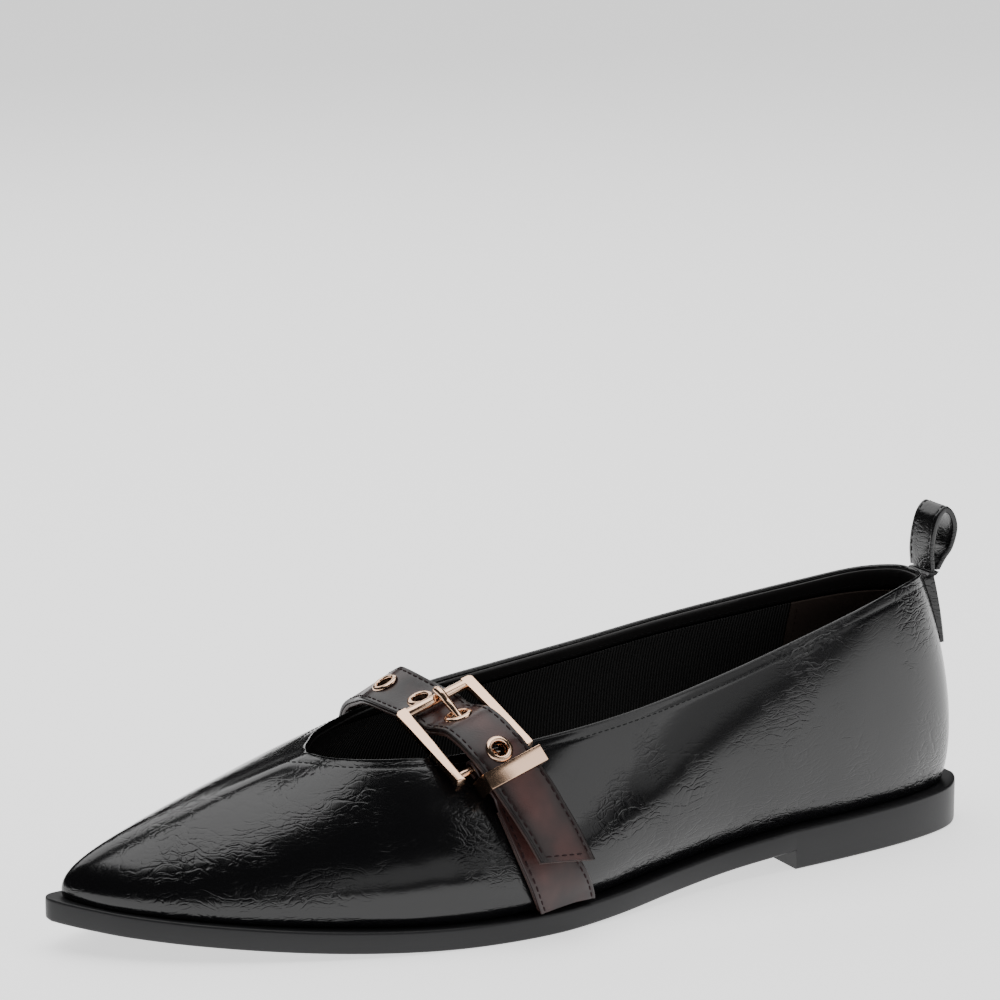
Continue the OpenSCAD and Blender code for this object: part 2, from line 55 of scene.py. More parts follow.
def finish_of(name, **sockets):
    """A new material with these values on its shader's own sockets."""
    made = bpy.data.materials.new(name)
    made.use_nodes = True
    shader = made.node_tree.nodes["Principled BSDF"]
    for socket, value in sockets.items():
        shader.inputs[socket.replace("_", " ")].default_value = value
    return made


camera = bpy.data.objects.new("camera", bpy.data.cameras.new("camera"))
bpy.context.scene.collection.objects.link(camera)
camera.data.lens = 149.0
camera.data.sensor_width = 36.0
camera.location = (-0.49931, -0.94644, 0.34833)
LOOKS = Vector((0.44645, 0.86741, -0.21974))
camera.rotation_euler = LOOKS.to_track_quat("-Z", "Y").to_euler()
bpy.context.scene.camera = camera

FLOOR_SIZE = 14.0
bpy.ops.mesh.primitive_plane_add(size=FLOOR_SIZE)
floor = bpy.context.object
floor.name = "table_top"
pale = finish_of("pale_table", Base_Color=(0.9, 0.9, 0.9, 1), Roughness=0.6,
                 Specular_IOR_Level=0.2, Emission_Color=(1, 1, 1, 1), Emission_Strength=1.2)
floor.data.materials.append(pale)


def softbox(name, size, location, aim, power, color=(1, 1, 1)):
    lamp = bpy.data.lights.new(name, "AREA")
    lamp.shape = "RECTANGLE"
    lamp.size, lamp.size_y = size
    lamp.energy = power
    lamp.color = color
    made = bpy.data.objects.new(name, lamp)
    made.location = location
    made.rotation_euler = (Vector(aim) - Vector(location)).to_track_quat("-Z", "Y").to_euler()
    bpy.context.scene.collection.objects.link(made)
    return made


softbox("top_box", (1.5, 1.0), (0.0, 0.12, 1.15), (0, 0.02, 0.02), 14)
softbox("back_box", (1.6, 0.7), (0.1, 1.2, 0.9), (0, 0, 0.05), 7)
softbox("front_card", (2.4, 0.5), (0.35, -1.6, 0.5), (0.05, 0, 0.05), 3.2)
softbox("side_card", (0.8, 0.9), (0.86, -1.05, 1.0), (0.0, 0, 0.05), 4)

sky = bpy.data.worlds.new("studio_dark")
bpy.context.scene.world = sky
sky.use_nodes = True
sky.node_tree.nodes["Background"].inputs["Color"].default_value = (0.1, 0.1, 0.1, 1)
sky.node_tree.nodes["Background"].inputs["Strength"].default_value = 0.25

# ---------------------------------------------------------------- last
# The wooden form that the shoe is made on. Its wall is a row of ribs, each one curve from the
# sole's seat to the topline, running from the back seam along the buckle side and round the toe.
ORIGIN = np.array([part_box("outsole")[1].x / MM,
                   (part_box("pull_loop")[0].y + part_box("pull_loop")[1].y) / 2 / MM - 2, 0.0])
HEEL_LENGTH = 68
BALL_X, WAIST_X, TOE_X = -172, -150, -275

# Foot, handle, handle and end of each rib. The first handle's z is over the seat.
RIBS = [
    [[-5, 2.5], [-0.5, 2.5, 13], [-3.5, 2, 50], [-13, 2, 72.5]],
    [[-9, -7.5], [-6, -11.5, 13], [-9, -10, 50], [-16, -6.5, 72.8]],
    [[-23, -14.5], [-21, -20.5, 13], [-23, -19.5, 50], [-25, -14, 73]],
    [[-45, -19.5], [-44, -26.5, 12], [-45, -26, 48], [-43, -21, 70]],
    [[-68, -22.5], [-68, -30.5, 11], [-69, -30, 44], [-68, -24.5, 63.8]],
    [[-92, -25.5], [-92, -34.5, 10], [-93, -33, 38], [-93, -26.5, 57.5]],
    [[-115, -31.5], [-115, -41, 9], [-117, -37.5, 34], [-119, -28.5, 52.2]],
    [[-138, -38.5], [-139, -48.5, 9], [-142, -43, 32], [-145, -28.5, 48.5]],
    [[-163, -42.5], [-164, -51, 9], [-167, -43, 33.5], [-169.5, -26.6, 46.3]],
    [[-187, -41], [-188, -48.5, 9], [-188, -38, 34], [-187.5, -25.1, 46.8]],
    [[-210, -35], [-212, -42, 9], [-205, -31, 35], [-197.8, -20.6, 46.9]],
    [[-231, -27.5], [-234, -33, 8.5], [-219, -23, 36], [-203, -14.5, 46.6]],
    [[-250, -18], [-254, -22, 8.5], [-234, -13, 34.5], [-205, -9, 46.4]],
    [[-263.5, -8], [-267.5, -10, 8.5], [-250, -4.5, 32], [-205.5, -6, 46.2]],
    [[-270.5, 3.5], [-273, 4, 9], [-256, 2.5, 30], [-204.5, -3, 46]],
    [[-264.5, 9], [-267.5, 12, 8.5], [-249, 9, 32], [-203, 0.5, 46]],
    [[-251, 16], [-254.5, 20.5, 8.5], [-236, 17, 34.5], [-200, 5, 46]],
    [[-232, 24.5], [-235, 31, 8.5], [-221, 25.5, 36], [-195, 11.5, 46.2]],
    [[-211, 31], [-213, 38, 9], [-205, 31.5, 37.5], [-187, 17.5, 46.8]],
    [[-188, 32.5], [-189, 40, 9], [-184, 36.5, 37.5], [-174, 23.5, 48.3]],
    [[-163, 28.5], [-163, 37, 9], [-160, 36, 37], [-155, 27, 51]],
    [[-138, 23], [-138, 31, 10], [-135, 33, 40], [-132, 27.5, 54]],
    [[-113, 20], [-113, 27.5, 11], [-110, 31, 44], [-108, 27, 57.4]],
    [[-90, 20.5], [-90, 28, 12], [-87, 30, 48], [-84, 26, 61.3]],
    [[-68, 23], [-68, 29.5, 12], [-65, 29, 50], [-62, 24, 64.7]],
    [[-45, 23.5], [-44, 30, 12], [-42, 28, 52], [-41, 21.5, 67.8]],
    [[-23, 20.5], [-20.5, 26.5, 13], [-20, 23, 52], [-24, 17, 70.8]],
    [[-9, 13.5], [-5, 17.5, 13], [-7.5, 14, 52], [-15, 9.5, 72.3]]]


def place(points):
    return (np.asarray(points, float) + ORIGIN) * MM


def seat(x):
    """Height of the sole's upper face."""
    x = np.asarray(x, float)
    waist = np.clip((x - WAIST_X) / (-HEEL_LENGTH - WAIST_X), 0, 1)
    toe = np.clip((x - BALL_X) / (TOE_X - BALL_X), 0, 1)
    slope = 11.3 - 5.3 * (1 - waist ** 1.25) + 8.2 * toe ** 1.75
    return np.where(x > -HEEL_LENGTH, 12.1 + 0.8 * x / HEEL_LENGTH, slope)


RIB = np.array([[[f[0], f[1], float(seat(f[0]))], [a[0], a[1], float(seat(f[0])) + a[2]], b, e]
                for f, a, b, e in RIBS], float).reshape(len(RIBS), 12)


def through(a, b, c, d, t):
    return 0.5 * (2 * b + (c - a) * t + (2 * a - 5 * b + 4 * c - d) * t * t
                  + (3 * b - a - 3 * c + d) * t ** 3)


def on_loop(points, u):
    """Points at u on the smooth closed curve through these points."""
    points, u = np.asarray(points, float), np.atleast_1d(np.asarray(u, float))
    i = np.floor(u).astype(int)
    n = len(points)
    return through(points[(i - 1) % n], points[i % n], points[(i + 1) % n], points[(i + 2) % n],
                   (u - i)[:, None])


def on_line(points, u):
    """Points at u on the smooth open curve through these points."""
    points, u = np.asarray(points, float), np.atleast_1d(np.asarray(u, float))
    last = len(points) - 1
    i = np.clip(np.floor(u).astype(int), 0, last - 1)
    return through(points[np.maximum(i - 1, 0)], points[i], points[i + 1],
                   points[np.minimum(i + 2, last)], (u - i)[:, None])


def wall(u, v, d=0.0):
    """Points at ribs u and heights v, d outside the wall, as rows of v and columns of u."""
    u, v = np.atleast_1d(u).astype(float), np.atleast_1d(v).astype(float)
    ribs = on_loop(RIB, u).reshape(-1, 4, 3)
    side = (on_loop(RIB, u + 0.1) - on_loop(RIB, u - 0.1)).reshape(-1, 4, 3)
    share = np.stack([(1 - v) ** 3, 3 * (1 - v) ** 2 * v, 3 * (1 - v) * v * v, v ** 3], 1)
    rise = np.stack([(1 - v) ** 2, 2 * (1 - v) * v, v * v], 1)
    climb = np.einsum("rk,mkc->rmc", rise, ribs[:, 1:] - ribs[:, :-1])
    out = np.cross(climb, np.einsum("rk,mkc->rmc", share, side))
    out /= np.linalg.norm(out, axis=2, keepdims=True)
    return np.einsum("rk,mkc->rmc", share, ribs) + np.asarray(d)[..., None] * out


def spot(u, v, d):
    return wall(u, v, d)[0, 0]


def wall_dir(u, v):
    step = spot(u - 0.1, v, 0) - spot(u + 0.1, v, 0)
    return step / np.linalg.norm(step)


# ---------------------------------------------------------------- sole
# Moulded rubber sole and low heel in one piece. Its edge stands out as a rim round the upper, its
# corners are softly rounded.
SOLE = [[-2.5, -5.5], [-10, -13], [-25, -19], [-45, -23.5], [-68, -27], [-90, -29.5],
    [-110, -34.5], [-130, -41], [-148, -45], [-165, -46.5], [-185, -45], [-205, -40.5],
    [-225, -33.5], [-245, -24], [-259, -15], [-267, -7.5], [-273, -0.5], [-275, 4],
    [-273, 8], [-267, 11.5], [-256, 17.5], [-240, 25.5], [-222, 32.5], [-205, 36],
    [-188, 36.5], [-170, 34], [-150, 29], [-130, 25], [-110, 23.5], [-90, 24.5],
    [-68, 27], [-45, 27.5], [-22, 24.5], [-9, 18.5], [-2, 10], [0, 2]]
SOLE_THICK = 6.0
EDGE_ROUND = 0.8


def skin(name, rings, mat, body="shoe", stands_for=(), loop=False, sharp=40):
    """A closed tube of rings, each ring a closed outline, with caps unless it joins itself."""
    rings = np.asarray(rings, float)
    n, k = rings.shape[:2]
    along = np.r_[0, np.cumsum(np.linalg.norm(np.roll(rings, -1, 0) - rings, axis=2).mean(1))] * MM
    around = np.r_[0, np.cumsum(np.linalg.norm(np.roll(rings, -1, 1) - rings, axis=2).mean(0))] * MM
    faces, cut = [], []
    for i in range(n if loop else n - 1):
        for j in range(k):
            a, b = (i + 1) % n * k, (j + 1) % k
            faces.append((i * k + j, a + j, a + b, i * k + b))
            cut += [(along[i], around[j]), (along[i + 1], around[j]),
                    (along[i + 1], around[j + 1]), (along[i], around[j + 1])]
    if not loop:
        faces += [tuple(range(k)), tuple(range((n - 1) * k, n * k))]
        cut += [(0, 0)] * (2 * k)
    mesh = bpy.data.meshes.new(name)
    mesh.from_pydata(place(rings.reshape(-1, 3)).tolist(), [], faces)
    mesh.uv_layers.new(name="cut").data.foreach_set("uv", np.array(cut, np.float32).ravel())
    return finished(name, mesh, mat, body, stands_for, sharp)


def finished(name, mesh, mat, body="shoe", stands_for=(), sharp=40):
    """The mesh as a piece: faces turned outwards, smooth shading, its finish and its body."""
    work = bmesh.new()
    work.from_mesh(mesh)
    bmesh.ops.remove_doubles(work, verts=work.verts, dist=1e-7)
    bmesh.ops.recalc_face_normals(work, faces=work.faces)
    work.to_mesh(mesh)
    work.free()
    mesh.shade_smooth()
    mesh.set_sharp_from_angle(angle=math.radians(sharp))
    mesh.materials.append(mat)
    piece = bpy.data.objects.new(name, mesh)
    bpy.context.scene.collection.objects.link(piece)
    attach(piece, body)
    if stands_for:
        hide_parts(*stands_for)
    return piece


def sides(outline):
    """Least and greatest y of a closed outline, as functions of x."""
    toe, heel = np.argmin(outline[:, 0]), np.argmax(outline[:, 0])
    turned = np.roll(outline, -heel, 0)
    cut = (toe - heel) % len(outline)
    first, second = turned[:cut + 1][::-1], np.r_[turned[cut:], turned[:1]]
    return (lambda x: np.interp(x, first[:, 0], first[:, 1]),
            lambda x: np.interp(x, second[:, 0], second[:, 1]))


def slab(name, outline, x_values, low, high, rounded, mat, stands_for):
    """A sheet or block between two heights, its sides following an outline, corners rounded."""
    buckle_side, inner_side = sides(outline)
    back, front = max(x_values), min(x_values)
    rings = []
    for x in x_values:
        y0, y1 = float(buckle_side(x)), float(inner_side(x))
        near = min(back - x, x - front) + 1e-3
        drop = rounded * (1 - math.sqrt(1 - max(0.0, 1 - near / rounded) ** 2))
        z0, z1 = float(low(x)) + drop, float(high(x)) - drop
        r = min(rounded, (y1 - y0) * 0.45, (z1 - z0) * 0.45)
        ring = []
        for cy, cz, start in ((y1 - r, z1 - r, 0), (y0 + r, z1 - r, 90),
                              (y0 + r, z0 + r, 180), (y1 - r, z0 + r, 270)):
            for step in range(5):
                a = math.radians(start + step * 22.5)
                ring.append([x, cy + r * math.cos(a), cz + r * math.sin(a)])
            if start in (0, 180):
                to = y0 + r if start == 0 else y1 - r
                z = z1 if start == 0 else z0
                ring += [[x, cy + (to - cy) * i / 8, z] for i in range(1, 8)]
        rings.append(ring)
    return skin(name, rings, mat, stands_for=stands_for, sharp=50)


def ground(x):
    heel = x > -HEEL_LENGTH
    return np.where(heel, 0.0, np.maximum(0.0, seat(x) - SOLE_THICK))


def node(mat, kind, place_in=(), **values):
    """A new node of that kind. Values set its properties; place_in links or sets its sockets."""
    made = mat.node_tree.nodes.new("ShaderNode" + kind)
    for key, value in values.items():
        setattr(made, key, value)
    for socket, value in dict(place_in).items():
        join(mat, value, made.inputs[socket])
    return made


def join(mat, value, socket):
    """Links an output to a socket, or sets the socket to a plain value."""
    if isinstance(value, bpy.types.NodeSocket):
        mat.node_tree.links.new(value, socket)
    else:
        socket.default_value = value


def shade(mat, socket, value):
    join(mat, value, mat.node_tree.nodes["Principled BSDF"].inputs[socket])


rubber = finish_of("satin_rubber", Base_Color=(0.011, 0.011, 0.012, 1), Roughness=0.42,
                   Specular_IOR_Level=0.35)
pores = node(rubber, "TexNoise", {"Scale": 900.0, "Detail": 3.0})
cloud = node(rubber, "TexNoise", {"Scale": 30.0, "Detail": 4.0})
where = node(rubber, "TexCoord")
for part in (pores, cloud):
    join(rubber, where.outputs["Object"], part.inputs["Vector"])
sheen = node(rubber, "MapRange", {"Value": cloud.outputs["Fac"], "To Min": 0.36, "To Max": 0.5})
shade(rubber, "Roughness", sheen.outputs["Result"])
grain = node(rubber, "Bump", {"Strength": 0.08, "Distance": 0.0002, "Height": pores.outputs["Fac"]})
shade(rubber, "Normal", grain.outputs["Normal"])

turns = (1 - np.cos(np.linspace(0, math.pi, 150))) / 2
sole_x = np.unique(np.r_[-0.02 - 274.96 * turns, -66.5, -67.2, -67.9, -68.1, -68.8, -69.5])[::-1]
sole_plan = on_loop(SOLE, np.arange(0, len(SOLE), 0.1))
slab("sole", sole_plan, sole_x, ground, seat, EDGE_ROUND, rubber, ["outsole"])

# ---------------------------------------------------------------- inside the bottom
# Pieces that the finished shoe hides: board, steel shank, cork filler, heel foam, toe puff and
# counter. They keep their exact shapes and get the finish of what they are cut from.
HIDDEN = {
    "insole_board": ((0.42, 0.34, 0.24), 0.9, 400.0),
    "shank": ((0.45, 0.46, 0.48), 0.35, 150.0),
    "bottom_filler": ((0.4, 0.24, 0.13), 0.95, 250.0),
    "heel_cushion": ((0.6, 0.5, 0.28), 1.0, 700.0),
    "toe_puff": ((0.5, 0.48, 0.42), 0.85, 500.0),
    "heel_counter": ((0.45, 0.38, 0.3), 0.9, 400.0)}
for hidden, (tint, rough, flecks) in HIDDEN.items():
    plain = finish_of(hidden + "_stuff", Base_Color=(*tint, 1), Roughness=rough)
    if hidden == "shank":
        shade(plain, "Metallic", 1.0)
    speckle = node(plain, "TexNoise", {"Scale": flecks, "Detail": 5.0})
    spread = node(plain, "ValToRGB", {"Fac": speckle.outputs["Fac"]})
    spread.color_ramp.elements[0].color = (*[c * 0.6 for c in tint], 1)
    spread.color_ramp.elements[1].color = (*[min(1, c * 1.25) for c in tint], 1)
    shade(plain, "Base Color", spread.outputs["Color"])
    rough_skin = node(plain, "Bump", {"Strength": 0.3, "Distance": 0.0003,
                                      "Height": speckle.outputs["Fac"]})
    shade(plain, "Normal", rough_skin.outputs["Normal"])
    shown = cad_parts[hidden]
    shown.data.materials.clear()
    shown.data.materials.append(plain)

# ---------------------------------------------------------------- upper
# Black leather with a thick gloss finish that has crinkled over the forepart and beside the
# strap. It is lasted over the sole's rim and its top edge is folded over and stitched.
LEATHER = 1.2


def leather_gloss(name, tint, rough, crinkle, fine=1.0, coat=0.0, coat_rough=0.1):
    """Glossy leather: soft waves, creases that run mostly one way, and a fine even grain."""
    made = finish_of(name, Base_Color=(*tint, 1), Roughness=rough, Coat_Weight=coat,
                     Coat_Roughness=coat_rough)
    where = node(made, "TexCoord")
    sway = node(made, "TexNoise", {"Vector": where.outputs["Object"], "Scale": 60.0, "Detail": 3.0})
    bent = node(made, "MixRGB", {"Fac": 0.012, "Color1": where.outputs["Object"],
                                 "Color2": sway.outputs["Color"]})
    lines = None
    for turn, size, weight in ((0.5, (150, 60, 420), 0.5), (-0.7, (110, 230, 520), 0.35),
                               (1.9, (420, 170, 700), 0.25)):
        lie = node(made, "Mapping", {"Vector": bent.outputs["Color"], "Rotation": (0.3, turn, turn),
                                     "Scale": [c * fine for c in size]})
        folds = node(made, "TexVoronoi", {"Vector": lie.outputs["Vector"], "Scale": 1.0},
                     feature="DISTANCE_TO_EDGE")
        edge = node(made, "MapRange", {"Value": folds.outputs["Distance"], "From Max": 0.1,
                                       "To Min": weight, "To Max": 0.0},
                    interpolation_type="SMOOTHSTEP")
        if lines is None:
            lines = edge.outputs["Result"]
        else:
            lines = node(made, "Math", {0: lines, 1: edge.outputs["Result"]},
                         operation="ADD").outputs[0]
    where_creased = node(made, "TexNoise", {"Vector": where.outputs["Object"], "Scale": 26.0,
                                            "Detail": 4.0, "Roughness": 0.6})
    patches = node(made, "MapRange", {"Value": where_creased.outputs["Fac"], "From Min": 0.45,
                                      "From Max": 0.66, "To Min": 0.05, "To Max": 1.0})
    creases = node(made, "Math", {0: lines, 1: patches.outputs["Result"]}, operation="MULTIPLY")
    deep = node(made, "Bump", {"Strength": crinkle, "Distance": 0.0004,
                               "Height": creases.outputs[0]}, invert=True)
    grain = node(made, "TexNoise", {"Vector": where.outputs["Object"], "Scale": 1400.0,
                                    "Detail": 4.0})
    even = node(made, "Bump", {"Strength": 0.10 * crinkle, "Distance": 0.0002,
                               "Height": grain.outputs["Fac"], "Normal": deep.outputs["Normal"]})
    swell = node(made, "Bump", {"Strength": 0.2 * crinkle, "Distance": 0.001,
                                "Height": sway.outputs["Fac"], "Normal": even.outputs["Normal"]})
    shade(made, "Normal", swell.outputs["Normal"])
    dull = node(made, "MapRange", {"Value": where_creased.outputs["Fac"], "To Min": rough * 0.75,
                                   "To Max": rough * 1.3})
    shade(made, "Roughness", dull.outputs["Result"])
    return made


black_gloss = leather_gloss("black_crinkled_leather", (0.0035, 0.0035, 0.004), 0.17, 0.25)


def crumple(p):
    """Height of the leather's soft folds at a point, in millimetres."""
    at = Vector(p)
    broad = noise.noise(at * 0.035) * 0.1
    band = math.exp(-((p[0] + 165) / 38) ** 2)
    ridge = 1 - abs(noise.noise(Vector((p[0] * 0.10 + p[2] * 0.06, p[1] * 0.05, p[2] * 0.16))))
    return broad + 0.07 * band * (ridge ** 6 - 0.4)


ALL_ROUND = np.arange(0, len(RIBS), 1 / 14)
rise = np.r_[np.linspace(0, 0.92, 34), np.linspace(0.93, 1, 10)]
flat_wall = wall(ALL_ROUND, rise)
puckers = np.array([[crumple(p) for p in row] for row in flat_wall])
fade = (1 - np.exp(-((rise - 1) / 0.12) ** 2)) * (1 - np.exp(-(rise / 0.05) ** 2))
groove = -0.08 * np.exp(-((rise - 0.962) / 0.008) ** 2)
outside = wall(ALL_ROUND, rise, puckers * fade[:, None] + groove[:, None] - 0.12)
bends = np.radians([30, 60, 90, 120, 150])
lip_rise = 1 + 0.011 * np.sin(bends)
lip_depth = -0.1 - LEATHER / 2 * (1 - np.cos(bends))
lip = np.stack([wall(ALL_ROUND, min(1, r), d)[0] + [0, 0, (r - 1) * 55]
                for r, d in zip(lip_rise, lip_depth)])
inside = wall(ALL_ROUND, np.linspace(1, 0.02, 8), -LEATHER - 0.1)
upper_rings = np.concatenate([outside, lip, inside]).transpose(1, 0, 2)
skin("upper", upper_rings, black_gloss, stands_for=["upper_leather"], loop=True, sharp=70)


def stitches(name, line, outward, mat, body="shoe", pitch=2.3, length=1.55, thick=0.42):
    """A row of lockstitches along a line, each one a short round-ended bead sunk in its holes."""
    line, outward = np.asarray(line, float), np.asarray(outward, float)
    run = np.r_[0, np.cumsum(np.linalg.norm(np.diff(line, axis=0), axis=1))]
    at = np.arange(pitch * 0.6, run[-1] - pitch * 0.3, pitch)
    centre = np.stack([np.interp(at, run, line[:, i]) for i in range(3)], 1)
    ahead = np.stack([np.interp(at + 0.2, run, line[:, i]) for i in range(3)], 1)
    up = np.stack([np.interp(at, run, outward[:, i]) for i in range(3)], 1)
    points, faces = [], []
    reach = [(-0.5, 0.12), (-0.42, 0.75), (-0.15, 1.0), (0.15, 1.0), (0.42, 0.75), (0.5, 0.12)]
    for c, a, n in zip(centre, ahead, up):
        t = (a - c) / np.linalg.norm(a - c)
        n = n - t * (n @ t)
        n /= np.linalg.norm(n)
        s = np.cross(n, t)
        base = len(points)
        for share, fat in reach:
            for turn in range(6):
                angle = turn * math.pi / 3
                points.append(c + t * share * length + thick / 2 * fat
                              * (math.cos(angle) * s + math.sin(angle) * n * 0.8))
        for ring in range(len(reach) - 1):
            for turn in range(6):
                a0, b0 = base + ring * 6 + turn, base + ring * 6 + (turn + 1) % 6
                faces.append((a0, b0, b0 + 6, a0 + 6))
        faces += [tuple(base + i for i in range(6)),
                  tuple(base + (len(reach) - 1) * 6 + i for i in range(6))]
    mesh = bpy.data.meshes.new(name)
    mesh.from_pydata(place(points).tolist(), [], faces)
    return finished(name, mesh, mat, body, sharp=60)


def thread_of(name, tint):
    """Waxed sewing thread with its twist."""
    made = finish_of(name, Base_Color=(*tint, 1), Roughness=0.85, Specular_IOR_Level=0.25)
    where = node(made, "TexCoord")
    twist = node(made, "TexWave", {"Vector": where.outputs["Object"], "Scale": 900.0,
                                   "Distortion": 1.0})
    strands = node(made, "Bump", {"Strength": 0.4, "Distance": 0.0001,
                                  "Height": twist.outputs["Fac"]})
    shade(made, "Normal", strands.outputs["Normal"])
    return made


black_thread = thread_of("black_thread", (0.012, 0.012, 0.013))
seam = wall(ALL_ROUND, 0.962, -0.16)[0]
stitches("topline_stitches", seam, wall(ALL_ROUND, 0.962, 1.0)[0] - wall(ALL_ROUND, 0.962)[0],
         black_thread, pitch=1.9, length=1.3, thick=0.34)

# ---------------------------------------------------------------- linings
# Smooth leather facing glued round the inside of the topline, ribbed black cloth under it along
# the vamp and quarters, and brown suede round the heel, lapped over the cloth and stitched.
FACED = 0.9


def lining_rings(ribs, heights, outer, inner):
    up, down = wall(ribs, heights, outer), wall(ribs, heights[::-1], inner)
    return np.concatenate([up, down]).transpose(1, 0, 2)


facing_leather = leather_gloss("facing_leather", (0.012, 0.011, 0.011), 0.5, 0.15, 1.6)
facing_rows = np.r_[FACED, FACED + 0.006, 0.93, 0.96, 0.985, 0.997]
facing_depth = np.array([1.9, 2.2, 2.25, 2.25, 2.15, 1.85])[:, None]
face_in = wall(ALL_ROUND, facing_rows, -facing_depth)
face_out = wall(ALL_ROUND, facing_rows[::-1], -1.4)
skin("topline_band", np.concatenate([face_in, face_out]).transpose(1, 0, 2), facing_leather,
     stands_for=["topline_facing"], loop=True, sharp=60)
stitches("facing_stitches", wall(ALL_ROUND, FACED + 0.022, -2.26)[0],
         wall(ALL_ROUND, 0.92, -1.0)[0] - wall(ALL_ROUND, 0.92)[0], black_thread,
         pitch=2.2, length=1.4, thick=0.32)

RIB_PITCH = 0.00092
ribbed = finish_of("ribbed_cloth", Base_Color=(0.007, 0.006, 0.006, 1), Roughness=0.85,
                   Sheen_Weight=0.06, Sheen_Roughness=0.5)
lie = node(ribbed, "UVMap", uv_map="cut")
split = node(ribbed, "SeparateXYZ", {"Vector": lie.outputs["UV"]})
phase = node(ribbed, "Math", {0: split.outputs["X"], 1: 2 * math.pi / RIB_PITCH},
             operation="MULTIPLY")
wave = node(ribbed, "Math", {0: phase.outputs[0]}, operation="SINE")
weave = node(ribbed, "Math", {0: split.outputs["Y"], 1: 2 * math.pi / 0.0004},
             operation="MULTIPLY")
picks = node(ribbed, "Math", {0: weave.outputs[0]}, operation="SINE")
both = node(ribbed, "Math", {0: picks.outputs[0], 1: 0.12, 2: wave.outputs[0]},
            operation="MULTIPLY_ADD")
cords = node(ribbed, "Bump", {"Strength": 0.9, "Distance": 0.0003, "Height": both.outputs[0]})
shade(ribbed, "Normal", cords.outputs["Normal"])
# Colour darker in the grooves between cords and lighter on their crests, in step with the bump:
# painted shade.
groove_shade_share = node(ribbed, "MapRange", {"Value": wave.outputs[0], "From Min": -1.0})
painted_groove_shade = node(ribbed, "MixRGB", {"Fac": groove_shade_share.outputs["Result"],
                                    "Color1": (0.002, 0.002, 0.002, 1),
                                    "Color2": (0.012, 0.010, 0.010, 1)})
shade(ribbed, "Base Color", painted_groove_shade.outputs["Color"])

low_rows = np.linspace(0.16, FACED - 0.006, 14)
SEAMS = (3, 25)
vamp_ribs = np.linspace(SEAMS[0] + 0.02, SEAMS[1] - 0.02, 310)
skin("cloth_lining", lining_rings(vamp_ribs, low_rows, -2.15, -2.7), ribbed,
     stands_for=["vamp_lining"], sharp=60)

suede = finish_of("brown_suede", Base_Color=(0.035, 0.022, 0.017, 1), Roughness=0.95,
                  Sheen_Weight=0.2, Sheen_Roughness=0.4, Sheen_Tint=(0.4, 0.28, 0.22, 1))
nap_at = node(suede, "TexCoord")
nap = node(suede, "TexNoise", {"Vector": nap_at.outputs["Object"], "Scale": 1500.0, "Detail": 5.0})
brushed = node(suede, "TexNoise", {"Vector": nap_at.outputs["Object"], "Scale": 90.0,
                                    "Detail": 3.0})
mottle = node(suede, "MixRGB", {"Fac": brushed.outputs["Fac"], "Color1": (0.03, 0.02, 0.016, 1),
                                "Color2": (0.075, 0.052, 0.042, 1)})
shade(suede, "Base Color", mottle.outputs["Color"])
fuzz = node(suede, "Bump", {"Strength": 0.5, "Distance": 0.0003, "Height": nap.outputs["Fac"]})
shade(suede, "Normal", fuzz.outputs["Normal"])
heel_ribs = np.linspace(SEAMS[1] - 0.01, SEAMS[0] + len(RIBS) + 0.01, 90)
skin("suede_lining", lining_rings(heel_ribs, low_rows, -2.2, -2.9), suede,
     stands_for=["heel_lining"], sharp=60)
brown_thread = thread_of("brown_thread", (0.05, 0.03, 0.024))
for name, rib in (("seam_stitches_inner", SEAMS[1] + 0.1), ("seam_stitches_outer", SEAMS[0] - 0.1)):
    rows = np.linspace(0.3, FACED - 0.01, 30)
    line = wall(rib, rows, -2.92)[:, 0]
    stitches(name, line, wall(rib, rows, -4.0)[:, 0] - line, brown_thread, pitch=2.0,
             length=1.3, thick=0.3)

# Leather sock over the board and the heel foam, its edge against the lining.
sock_leather = leather_gloss("sock_leather", (0.02, 0.014, 0.012), 0.6, 0.2, 2.0)
sock_edge = wall(np.arange(0, len(RIBS), 0.1), 0.14, -3.3)[0][:, :2]
sock_x = np.linspace(sock_edge[:, 0].max() - 1.0, max(sock_edge[:, 0].min() + 1.0, -262.0), 120)


def sock_low(x):
    return seat(x) + 3.85 + 2.65 * np.clip((x + 84) / 15, 0, 1)


slab("sock", sock_edge, sock_x, sock_low, lambda x: sock_low(x) + 1.15, 0.4, sock_leather,
     ["sock_lining"])

# ---------------------------------------------------------------- strap
# Two plies of burnished brown leather, with a painted highlight down the middle, stitched near both
# edges.
# It comes up from the inner side, passes under the buckle's top bar, over the heel bar and the
# chape, and ends in a slanted tip.
STRAP_W = 15.0
PLY = 1.1
GAP = 0.15
BUCKLE_AT = np.array([-172.2, -14.1, 58.9])
BUCKLE_TURN = Matrix.Rotation(math.radians(8), 3, "Z") @ Matrix.Rotation(
    math.radians(-16), 3, "Y") @ Matrix.Rotation(math.radians(31.5), 3, "X")


def by_buckle(x, y, z):
    """A point given in the buckle's frame: x across the strap, y up it and z outwards."""
    return BUCKLE_AT + np.array(BUCKLE_TURN @ Vector((x, y, z)))


ACROSS = np.array(BUCKLE_TURN @ Vector((1, 0, 0)))

